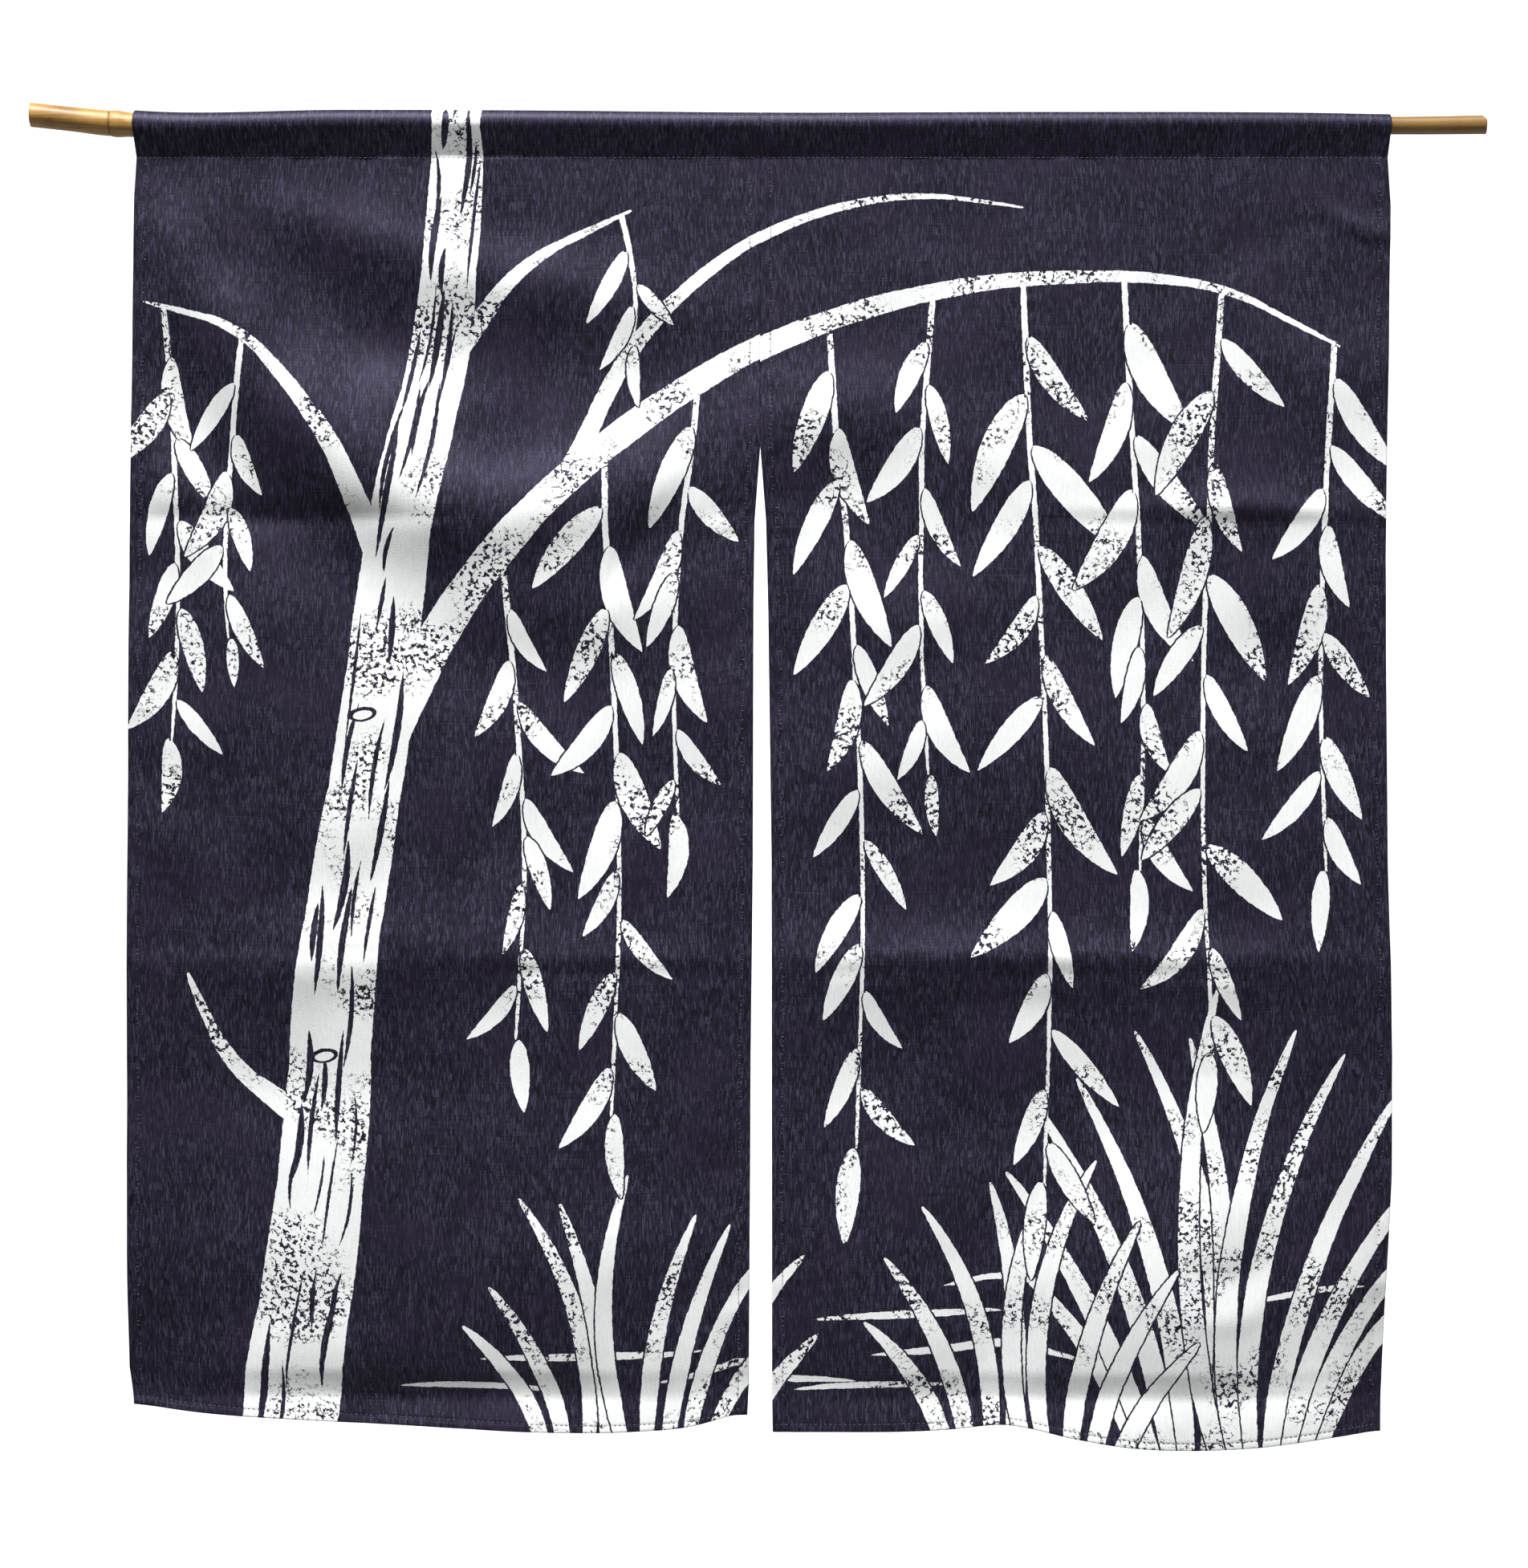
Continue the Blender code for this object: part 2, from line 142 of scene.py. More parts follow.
def add_node(tree: bpy.types.NodeTree, kind: str, sockets=(), **settings) -> bpy.types.Node:
    """Add a node, set its settings and feed its sockets.

    Args:
        tree: The node tree.
        kind: The node's type.
        sockets: What goes into each input, in order or by name: a socket, a node whose first
            output is meant, a constant, or None to leave the input alone.
        **settings: The node's own properties.

    Returns:
        The new node.
    """
    node = tree.nodes.new(kind)
    for name, value in settings.items():
        setattr(node, name, value)
    for key, value in sockets.items() if isinstance(sockets, dict) else enumerate(sockets):
        source = value.outputs[0] if isinstance(value, bpy.types.Node) else value
        if isinstance(source, bpy.types.NodeSocket):
            tree.links.new(source, node.inputs[key])
        elif source is not None:
            node.inputs[key].default_value = source
    return node


def new_material(name: str, sockets: dict) -> tuple[bpy.types.Material, bpy.types.NodeTree, bpy.types.Node]:
    """Start a material with its constants on the shader's own sockets.

    Args:
        name: What the real material is.
        sockets: Constants by socket name.

    Returns:
        The material, its node tree and its shader.
    """
    material = bpy.data.materials.new(name)
    material.use_nodes = True
    tree = material.node_tree
    shader = tree.nodes["Principled BSDF"]
    for key, value in sockets.items():
        shader.inputs[key].default_value = value
    return material, tree, shader


MATH = "ShaderNodeMath"
NOISE = "ShaderNodeTexNoise"
MAPPING = "ShaderNodeMapping"
MAP_RANGE = "ShaderNodeMapRange"
RAMP = "ShaderNodeValToRGB"
MIX = "ShaderNodeMix"


# The cane


@dataclass(frozen=True)
class Station:
    """The cane's axis height and radius at one place along it."""

    x: float
    z: float
    radius: float


STATIONS = (
    Station(-0.4905, 0.0070, 0.0082),
    Station(-0.4640, 0.0042, 0.0083),
    Station(-0.4390, 0.0014, 0.0086),
    Station(-0.4200, 0.0002, 0.0082),
    Station(-0.2800, 0.0012, 0.0076),
    Station(-0.1500, 0.0011, 0.0073),
    Station(0.0000, 0.0000, 0.0070),
    Station(0.2000, 0.0009, 0.0065),
    Station(0.3800, 0.0006, 0.0061),
    Station(0.4300, -0.0002, 0.0060),
    Station(0.4910, 0.0003, 0.0063),
)


def cane_height(x: Array) -> Array:
    """Height of the cane's axis at x."""
    return smooth_table([s.x for s in STATIONS], [s.z for s in STATIONS], x)


def cane_radius(x: Array) -> Array:
    """Radius of the cane at x, without its joint."""
    return smooth_table([s.x for s in STATIONS], [s.radius for s in STATIONS], x)


@dataclass(frozen=True)
class CaneSkin:
    """Bamboo: the waxy skin of a dried culm. Golden, with fine lengthwise fibres and a satin
    gloss that draws one soft highlight along its top."""

    pale: str = "BC9450"
    golden: str = "A57B3C"
    brown: str = "785528"
    scar: str = "3C2712"
    roughness: float = 0.50
    ior: float = 1.50
    # The thin end is darker: its colour is this share of the thick end's
    thin_end_share: float = 0.55
    # A fibre bundle is about 0.4 mm wide, too fine for the render, so it is drawn at 0.9 mm
    fibre_width: float = 0.9 * MM
    fibre_length: float = 70 * MM
    blotch: float = 22 * MM
    scar_x: float = -0.4370
    scar_width: float = 0.55 * MM

    def material(self) -> bpy.types.Material:
        """Build the material.

        Returns:
            The material, which reads Object coordinates.
        """
        material, tree, shader = new_material("bamboo_waxy_skin", {
            "Roughness": self.roughness, "IOR": self.ior})
        place = add_node(tree, "ShaderNodeTexCoord").outputs["Object"]
        along = add_node(tree, MAPPING, {"Vector": place, "Scale": (
            1 / self.fibre_length, 1 / self.fibre_width, 1 / self.fibre_width)})
        fibres = add_node(tree, NOISE, {"Vector": along, "Scale": 1.0, "Detail": 3.0, "Roughness": 0.6})
        blotches = add_node(tree, NOISE, {"Vector": place, "Scale": 1 / self.blotch, "Detail": 3.0})
        tone = add_node(tree, MATH, (fibres, 0.55), operation="MULTIPLY")
        tone = add_node(tree, MATH, (blotches, 0.45, tone), operation="MULTIPLY_ADD")
        ramp = add_node(tree, RAMP, (tone,))
        ramp.color_ramp.elements[0].position = 0.36
        ramp.color_ramp.elements[0].color = linear(self.brown)
        ramp.color_ramp.elements[1].position = 0.66
        ramp.color_ramp.elements[1].color = linear(self.pale)
        ramp.color_ramp.elements.new(0.49).color = linear(self.golden)
        x = add_node(tree, "ShaderNodeSeparateXYZ", (place,))
        apart = add_node(tree, MATH, (x, self.scar_x), operation="SUBTRACT")
        apart = add_node(tree, MATH, (apart,), operation="ABSOLUTE")
        scar = add_node(tree, MAP_RANGE, {"Value": apart, "From Min": 0.4 * self.scar_width,
                                          "From Max": self.scar_width, "To Min": 0.85, "To Max": 0.0})
        colour = add_node(tree, MIX, {"Factor": scar.outputs[0], "A": ramp, "B": linear(self.scar)},
                          data_type="RGBA")
        # The colour darkens along the cane towards the thin end
        darker_to_thin_end = add_node(tree, MAP_RANGE, {"Value": x, "From Min": STATIONS[0].x, "From Max": STATIONS[-1].x,
                                          "To Min": 1.0, "To Max": self.thin_end_share})
        colour = add_node(tree, MIX, {"Factor": 1.0, "A": colour.outputs["Result"], "B": darker_to_thin_end.outputs[0]},
                          data_type="RGBA", blend_type="MULTIPLY")
        tree.links.new(colour.outputs["Result"], shader.inputs["Base Color"])
        bump = add_node(tree, "ShaderNodeBump", {"Strength": 0.35, "Distance": 0.1 * MM, "Height": fibres})
        tree.links.new(bump.outputs[0], shader.inputs["Normal"])
        return material


@dataclass(frozen=True)
class CaneCutEnd:
    """Bamboo: sawn end grain. Dry and matt, pale with the dark dots of the fibre bundles."""

    pale: str = "D9BE8E"
    dark: str = "7A5A34"
    roughness: float = 0.75
    ior: float = 1.50
    # Bundles stand about 0.5 mm apart in the wall
    bundle: float = 0.55 * MM

    def material(self) -> bpy.types.Material:
        """Build the material.

        Returns:
            The material, which reads Object coordinates.
        """
        material, tree, shader = new_material("bamboo_sawn_end", {
            "Roughness": self.roughness, "IOR": self.ior})
        place = add_node(tree, "ShaderNodeTexCoord").outputs["Object"]
        dots = add_node(tree, "ShaderNodeTexVoronoi", {"Vector": place, "Scale": 1 / self.bundle})
        ramp = add_node(tree, RAMP, (dots.outputs["Distance"],))
        ramp.color_ramp.elements[0].position = 0.18
        ramp.color_ramp.elements[0].color = linear(self.dark)
        ramp.color_ramp.elements[1].position = 0.42
        ramp.color_ramp.elements[1].color = linear(self.pale)
        tree.links.new(ramp.outputs["Color"], shader.inputs["Base Color"])
        return material


@dataclass(frozen=True)
class Cane:
    """The tapering bamboo cane, with the joint that shows outside the sleeve."""

    node: str = "rod"
    sides: int = 72
    spacing: float = 4.0 * MM
    fine_spacing: float = 0.35 * MM
    joint_x: float = -0.4370
    joint_reach: float = 0.014
    groove: float = 0.35 * MM
    groove_width: float = 0.8 * MM
    swell: float = 0.55 * MM
    swell_offset: float = 5.0 * MM
    swell_width: float = 4.5 * MM
    flat: float = 0.10 * MM
    hollow_share: float = 0.34
    hollow_depth: float = 2.5 * MM
    arris: float = 0.35 * MM
    chamfer: float = 2.6 * MM

    def outline(self, x: Array, turn: Array) -> Array:
        """Radius at x and angle: taper, joint groove and swelling, and slow flats.

        radius = taper(x) - groove bell + swelling bell + flat * cos(3 turn + 9 x + 1)
        """
        groove = self.groove * np.exp(-(((x - self.joint_x) / self.groove_width) ** 2))
        swell = self.swell * np.exp(-(((x - self.joint_x - self.swell_offset) / self.swell_width) ** 2))
        flats = self.flat * np.cos(3 * turn + 9 * x + 1.0) + 0.5 * self.flat * np.sin(2 * turn - 31 * x)
        return cane_radius(x) - groove + swell + flats - self.flat

    def rings(self) -> Array:
        """Places of the rings of vertices, close together at the joint."""
        first, last = STATIONS[0].x, STATIONS[-1].x
        even = np.linspace(first, last, round((last - first) / self.spacing) + 1)
        even = even[np.abs(even - self.joint_x) > self.joint_reach]
        fine = np.arange(-self.joint_reach, self.joint_reach, self.fine_spacing) + self.joint_x
        return np.sort(np.concatenate([even, fine]))

    def end_rings(self, x: float, outward: float) -> tuple[Array, Array]:
        """Places and radius shares of the rings that close one end, from the skin inwards.

        The arris is rounded off, then the sawn face runs in to a shallow hollow.
        """
        depth = np.array([0.0, self.arris * 0.4, self.arris * 0.4, self.arris * 0.4, -self.hollow_depth])
        share = np.array([0.975, 0.95, 0.70, self.hollow_share, self.hollow_share * 0.8])
        return x + outward * (depth - self.arris * 0.4), share

    def build(self, skin: bpy.types.Material, end: bpy.types.Material) -> bpy.types.Object:
        """Make the cane and put it in the CAD node's stead.

        Points lie at (x, radius cos turn, height(x) + radius sin turn). The thin end's upper
        corner is cut back by the chamfer.

        Args:
            skin: Material of the skin.
            end: Material of the sawn ends.

        Returns:
            The object.
        """
        body = self.rings()
        left_x, left_share = self.end_rings(body[0], -1.0)
        right_x, right_share = self.end_rings(body[-1], 1.0)
        x = np.concatenate([left_x[::-1], body, right_x])
        share = np.concatenate([left_share[::-1], np.ones_like(body), right_share])
        turn = (np.arange(self.sides) * 2 * math.pi / self.sides)[None, :]
        along = np.clip(x, body[0], body[-1])[:, None]
        radius = self.outline(along, turn) * share[:, None]
        cut = self.chamfer * smooth_step(np.sin(turn) * share[:, None], 0.35, 1.0)
        cut = cut * smooth_step(x[:, None], body[-1] - 6 * MM, body[-1] - 0.5 * MM)
        height = cane_height(along) + radius * np.sin(turn)
        points = np.stack([x[:, None] - cut, radius * np.cos(turn), height], -1)
        numbers = np.arange(points.shape[0] * self.sides).reshape(-1, self.sides)
        quads = grid_quads(np.concatenate([numbers, numbers[:, :1]], axis=1))
        faces = quads[:, ::-1].tolist() + [numbers[0].tolist(), numbers[-1][::-1].tolist()]
        item = new_piece("bamboo_cane", points, faces, [skin, end])
        end_quads = (len(left_x) - 1) * self.sides
        slots = np.zeros(len(faces), np.int32)
        slots[:end_quads] = 1
        slots[len(quads) - end_quads:] = 1
        item.data.polygons.foreach_set("material_index", slots)
        item.data.set_sharp_from_angle(angle=math.radians(50))
        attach(item, BODY)
        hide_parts(self.node)
        return item


# The folds of the cloth


@dataclass(frozen=True)
class Fold:
    """A ridge along a bent crest, from start through middle to end, in x and z.

    Height is towards the front, and a trough's is below zero. Width is the half width. A
    crisp fold is a pressed crease, whose sides fall away straight.
    """

    start: Pair
    middle: Pair
    end: Pair
    height: float
    width: float
    crisp: bool = False

    def height_at(self, x: Array, z: Array) -> Array:
        """Height that the fold adds: its profile at the distance from the crest's nearest point.

        The crest is the parabola P(t) through the three points. The nearest t is found on a
        coarse row of points and then by Newton's steps on (P - q) . P' = 0. A soft profile is
        exp(-(d / width)^2), a crisp one exp(-(sqrt(d^2 + e^2) - e) / width), and both taper
        towards the crest's ends as 0.25 + 0.75 sin(pi t).

        Args:
            x: Places across.
            z: Heights.

        Returns:
            The height at each place.
        """
        start, middle, end = (np.array(p) for p in (self.start, self.middle, self.end))
        guide = 2 * middle - (start + end) / 2
        first, second = 2 * (guide - start), start - 2 * guide + end
        t = np.linspace(0.0, 1.0, CREST_POINTS)
        crest = start + first * t[:, None] + second * t[:, None] ** 2
        t = t[((x[..., None] - crest[:, 0]) ** 2 + (z[..., None] - crest[:, 1]) ** 2).argmin(-1)]
        for _ in range(NEWTON_STEPS):
            gap_x = start[0] + first[0] * t + second[0] * t * t - x
            gap_z = start[1] + first[1] * t + second[1] * t * t - z
            pace_x, pace_z = first[0] + 2 * second[0] * t, first[1] + 2 * second[1] * t
            pace = pace_x**2 + pace_z**2
            bend = pace + 2 * (gap_x * second[0] + gap_z * second[1])
            t = np.clip(t - (gap_x * pace_x + gap_z * pace_z) / np.maximum(bend, 0.3 * pace), 0.0, 1.0)
        away = np.hypot(start[0] + first[0] * t + second[0] * t * t - x,
                        start[1] + first[1] * t + second[1] * t * t - z)
        taper = CREST_END + (1 - CREST_END) * np.sin(math.pi * t)
        if self.crisp:
            fall = (np.sqrt(away**2 + CRISP_ROUND**2) - CRISP_ROUND) / self.width
        else:
            fall = (away / self.width) ** 2
        return self.height * taper * np.exp(-fall)


CRISP = True
CRISP_ROUND = 1.2 * MM
CREST_POINTS = 25
CREST_END = 0.25
NEWTON_STEPS = 4


def folds(*rows: tuple[float, ...]) -> tuple[Fold, ...]:
    """Folds from rows in mm: start, middle and end as x and z, height, half width, and CRISP or nothing."""
    found = []
    for row in rows:
        x0, z0, x1, z1, x2, z2, height, width = (MM * value for value in row[:8])
        found.append(Fold((x0, z0), (x1, z1), (x2, z2), height, width, CRISP in row[8:]))
    return tuple(found)


SHARED_FOLDS = folds(
    (-410, -30, -240, -245, 20, -200, 12, 38),
    (-395, -125, -300, -290, -120, -375, -6.5, 40),
    (-350, -28, -215, -92, -20, -125, 5.5, 24),
    (-385, -45, -255, -145, -60, -170, -5, 28),
    (-20, -215, 80, -195, 190, -245, 4.5, 32),
    (-426, -264, -340, -266, -240, -263, -2.2, 12),
    (-392, -28, -330, -98, -262, -185, 2.2, 15),
    (-20, -208, -78, -282, -130, -345, -1.6, 9),
)
LEFT_FOLDS = folds(
    (-426, -566, -210, -563, -10, -570, 4.5, 24),
    (-426, -640, -260, -650, -60, -630, -3.4, 48),
    (-426, -762, -230, -776, -10, -758, 2.6, 46),
    (-240, -330, -130, -325, -15, -305, 3.5, 34),
    (-426, -848, -240, -856, -10, -852, -4.8, 20),
    (-422, -872, -416, -850, -408, -790, -11, 26),
    (-150, -560, -130, -740, -100, -900, 6, 60),
    (-340, -420, -330, -640, -300, -880, -4, 60),
    (-20, -260, -12, -420, -20, -640, 4.5, 22),
    (-8, -800, -6, -850, -10, -900, -6, 22),
    (-428, -186, -402, -232, -362, -300, 2.6, 17),
    (-428, -448, -402, -476, -368, -524, 2.6, 16),
    (-200, -500, -90, -455, -12, -462, -2.2, 30),
    (-430, -553, -340, -554.5, -210, -560, -1.4, 6, CRISP),
    (-230, -561.5, -120, -562, 0, -562.5, 1.2, 5.5, CRISP),
    (-240, -572, -120, -572.5, 0, -573.5, -1.3, 5.5, CRISP),
    (-430, -840, -215, -840.5, 0, -841, 1.2, 7, CRISP),
    (-430, -857, -215, -858.5, 0, -859, -1.3, 5, CRISP),
    (-430, -264, -330, -264.8, -170, -263.5, -1.2, 5, CRISP),
    (-34, -270, -20, -271.5, -6, -268.5, 1, 4, CRISP),
    (-30, -279, -16, -277, -5, -280, -0.7, 3.5, CRISP),
)
RIGHT_FOLDS = folds(
    (10, -565, 200, -566, 430, -572, 6, 22),
    (10, -648, 170, -660, 430, -640, -4.5, 48),
    (10, -775, 190, -790, 428, -770, 3.2, 46),
    (12, -330, 100, -325, 200, -335, 3, 34),
    (10, -851, 190, -857, 424, -850, -4, 20),
    (10, -430, 120, -415, 260, -445, 4, 50),
    (250, -262, 340, -258, 428, -268, 3, 14),
    (230, -340, 330, -365, 428, -420, -4.5, 40),
    (376, -48, 398, -66, 432, -74, 3, 7),
    (300, -640, 295, -780, 292, -910, 9, 50),
    (165, -700, 158, -800, 156, -910, -7, 36),
    (428, -780, 424, -840, 418, -900, -8, 26),
    (22, -270, 14, -430, 20, -600, -4, 24),
    (240, -138, 300, -98, 376, -58, -2.8, 20),
    (330, -130, 375, -165, 430, -150, 2.2, 26),
    (6, -561.5, 215, -560.5, 430, -562.5, 1.3, 5.5, CRISP),
    (6, -572.5, 215, -572.5, 430, -574.5, -1.4, 5.5, CRISP),
    (6, -840, 215, -843, 430, -839, 1.2, 7, CRISP),
    (6, -857, 215, -860, 430, -857, -1.3, 5, CRISP),
    (180, -258.5, 320, -258, 430, -260, 1.2, 5.5, CRISP),
    (180, -269, 320, -268, 430, -270, -1, 5, CRISP),
    (266, -790, 312, -806, 356, -784, 1.4, 10),
    (276, -762, 314, -778, 350, -760, -1.2, 10),
    (6, -269, 22, -271, 36, -269, 1, 4, CRISP),
    (372, -66.5, 383, -67, 396, -65.5, -1, 2.5, CRISP),
    (380, -856, 410, -850, 436, -843, 1, 4, CRISP),
)

STITCH_Z = -0.0220
SLIT_TOP_Z = -0.2160
SEAM_X = 0.0016
SEAM_GAP = 0.0003
FOLD_GROWTH = 0.060
SEWN_WIDTH = 0.045
SEWN_FADE = 0.070
# Number of waves, shortest and longest wavelength, and height of their sum
CLOTH_WAVES = (14, 0.055, 0.150, 0.65 * MM)
EDGE_WAVES = (6, 0.014, 0.030, 0.16 * MM)
HEM_WAVES = (6, 0.016, 0.036, 0.20 * MM)
SLEEVE_WAVES = (6, 0.018, 0.045, 0.22 * MM)
# How far puckers reach from the stitches of a side hem, the lower hem and the sleeve
EDGE_PUCKER, HEM_PUCKER, SLEEVE_PUCKER = 6 * MM, 9 * MM, 14 * MM
GROOVE_WIDTH, GROOVE_DEPTH, HEM_GROOVE = 0.9 * MM, 0.16 * MM, 1.6
# Columns are 4.6 mm apart between the hems, rows 3.5 mm
COLUMN_PITCH = 4.6 * MM
EDGE_COLUMNS = 8
FRONT_ROWS = 246
BACK_WALL_ROWS, ARC_ROWS, FRONT_WALL_ROWS = 8, 29, 10
HEM_ROWS = 7


def waves(seed: int, count: int, shortest: float, longest: float, height: float) -> Array:
    """Rows of (wave number across, wave number up, phase, height) of slow random ripples.

    Args:
        seed: Seed of the draw.
        count: Number of waves.
        shortest: Shortest wavelength.
        longest: Longest wavelength.
        height: Root mean square height of their sum.

    Returns:
        One row per wave.
    """
    draw = np.random.default_rng(seed)
    length = draw.uniform(shortest, longest, count)
    heading = draw.uniform(0, math.pi, count)
    each = height * math.sqrt(2 / count)
    pace = 2 * math.pi / length
    return np.stack([pace * np.cos(heading), pace * np.sin(heading), draw.uniform(0, 6.28, count),
                     np.full(count, each)], axis=1)


def ripple(rows: Array, x: Array, z: Array) -> Array:
    """Sum of the waves at (x, z): height * sin(kx x + kz z + phase)."""
    total = np.zeros_like(x)
    for across, up, phase, height in rows:
        total = total + height * np.sin(across * x + up * z + phase)
    return total


# The print


class StrokeKind(Enum):
    """How a stroke of the print lies on the strokes before it."""

    JOINED = 0
    LEAF = 1
    CUT = 2


@dataclass(frozen=True)
class Stroke:
    """One stroke of the print: a tapering, bent brush mark from start to end.

    Half width at share s of its length is ((4 s (1 - s)) ** power) times the half width there,
    so a power near 0 gives a bar with round ends and a power near 1 a pointed lens. Bend is
    the sideways bulge of its centre line. A skew under 1 moves the widest place to its start.
    """

    start: Pair
    end: Pair
    half_start: float
    half_end: float
    bend: float
    power: float
    kind: StrokeKind
    skew: float = 1.0

    def coordinates(self, u: Array, v: Array) -> tuple[Array, Array, Array]:
        """Place on the stroke.

        Args:
            u: Cloth places across.
            v: Cloth places up.

        Returns:
            The skewed share along it, the distance from its centre line in half widths, and
            the half width.
        """
        run = np.array(self.end) - np.array(self.start)
        length = math.hypot(run[0], run[1])
        share = ((u - self.start[0]) * run[0] + (v - self.start[1]) * run[1]) / length**2
        aside = ((v - self.start[1]) * run[0] - (u - self.start[0]) * run[1]) / length
        within = np.clip(share, -0.15, 1.15)
        half = self.half_start + (self.half_end - self.half_start) * np.clip(share, 0.0, 1.0)
        aside = aside - 4 * self.bend * within * (1 - within)
        return np.sign(share) * np.abs(share) ** self.skew, aside / half, half

    def inside(self, share: Array, aside: Array, half: Array) -> Array:
        """Distance inside the stroke's edge, below zero outside: the same sum as in the shader."""
        lens = 4 * share * (1 - share)
        profile = np.maximum(lens, 0.0) ** self.power + BEYOND * np.minimum(lens, 0.0)
        return (profile - np.abs(aside)) * half


BEYOND = 6.0
LAYERS = 6
LEAF_GAP = 1.2 * MM
NO_STROKE = (0.5, 9.0, 1.0, 0.01)
BAR_POWER = 0.06
TIP_POWER = 0.22


def smooth_path(points: tuple[Pair, ...]) -> tuple[float, Callable[[Array], Array]]:
    """A smooth curve through the points.

    Args:
        points: The points it passes.

    Returns:
        Its length and a function from distances along it to places.
    """
    knots = np.array(points)
    far = np.concatenate([[0.0], np.cumsum(np.hypot(*np.diff(knots, axis=0).T))])
    return far[-1], lambda at: np.stack([smooth_table(far, column, at) for column in knots.T], 1)


@dataclass(frozen=True)
class Limb:
    """A trunk, branch or stalk of the print: points it passes and half widths at its ends."""

    points: tuple[Pair, ...]
    half_start: float
    half_end: float
    step: float = 0.075

    def strokes(self) -> list[Stroke]:
        """Overlapping bars along the limb, which narrow from its foot to its tip."""
        length, read = smooth_path(self.points)
        edges = np.linspace(0.0, length, max(2, round(length / self.step)) + 1)
        half = np.interp(edges, (0.0, length), (self.half_start, self.half_end))
        found = []
        for i in range(len(edges) - 1):
            first = max(edges[i] - 0.8 * half[i] - 2 * MM, 0.0)
            last = min(edges[i + 1] + 0.8 * half[i + 1] + 2 * MM, length)
            start, middle, end = read(np.array([first, (first + last) / 2, last]))
            run = (end - start) / np.hypot(*(end - start))
            bend = run[0] * (middle - start)[1] - run[1] * (middle - start)[0]
            power = BAR_POWER if i < len(edges) - 2 else TIP_POWER
            found.append(Stroke(tuple(start), tuple(end), half[i], half[i + 1], bend, power,
                                StrokeKind.JOINED))
        return found


@dataclass(frozen=True)
class Twig:
    """A hanging willow twig: where it leaves its branch, its length, sway and leaf size."""

    top: Pair
    length: float
    sway: float
    leaf: float
    pitch: float

    def strokes(self, draw: np.random.Generator) -> list[Stroke]:
        """The twig's stalk and its leaves, which droop to each side in turn.

        Args:
            draw: The seeded random source.

        Returns:
            Its strokes in the order they are laid.
        """
        x, z = self.top
        points = tuple((x + aside * self.sway, z - down * self.length)
                       for aside, down in ((0.0, 0.0), (0.6, 0.3), (1.0, 0.7), (0.7, 1.0)))
        found = Limb(points, 2.1 * MM, 1.2 * MM, 0.09).strokes()
        length, read = smooth_path(points)
        count = max(2, round(length / self.pitch))
        along = (np.arange(1, count + 1) + draw.uniform(-0.22, 0.22, count)) * length / count
        side = draw.choice((-1.0, 1.0))
        for i, (base_x, base_z) in enumerate(read(np.minimum(along, length))):
            grown = 1.0 - 0.30 * (i / count) ** 2
            size = self.leaf * grown * draw.uniform(0.72, 1.16)
            lean = side * draw.uniform(0.26, 0.80)
            if i == count - 1:
                lean = 0.12 * side
            tip = (base_x + size * math.sin(lean), base_z - size * math.cos(lean))
            half = size * draw.uniform(0.100, 0.132)
            bend = side * size * draw.uniform(-0.09, 0.03)
            root = (base_x + 2.2 * MM * side, base_z)
            found.append(Stroke(root, tip, half, half, bend, 0.80, StrokeKind.LEAF, 0.78))
            if draw.random() > 0.12:
                side = -side
        return found


@dataclass(frozen=True)
class Reeds:
    """A clump of reeds: its foot, the number and height of its blades and its spread."""

    foot: Pair
    blades: int
    tallest: float
    spread: float
    half: float

    def strokes(self, draw: np.random.Generator) -> list[Stroke]:
        """Blades that fan out from the foot and arch over, outer ones first.

        Args:
            draw: The seeded random source.

        Returns:
            Its strokes in the order they are laid.
        """
        found = []
        places = np.linspace(-1.0, 1.0, self.blades)
        for lean in places[np.argsort(-np.abs(places), kind="stable")]:
            length = self.tallest * (1.0 - 0.45 * lean * lean) * draw.uniform(0.82, 1.0)
            angle = lean * self.spread + draw.uniform(-0.05, 0.05)
            base = (self.foot[0] + lean * 0.055, self.foot[1])
            tip = (base[0] + length * math.sin(angle), base[1] + length * math.cos(angle))
            bend = math.copysign(length * draw.uniform(0.04, 0.10), -lean)
            found.append(Stroke(base, tip, self.half * 1.15, self.half * 0.75, -bend, 0.42,
                                StrokeKind.LEAF, 0.85))
        return found


TRUNK = ((-0.316, -0.915), (-0.290, -0.740), (-0.276, -0.560), (-0.256, -0.430), (-0.238, -0.280),
         (-0.210, -0.130), (-0.200, 0.080))


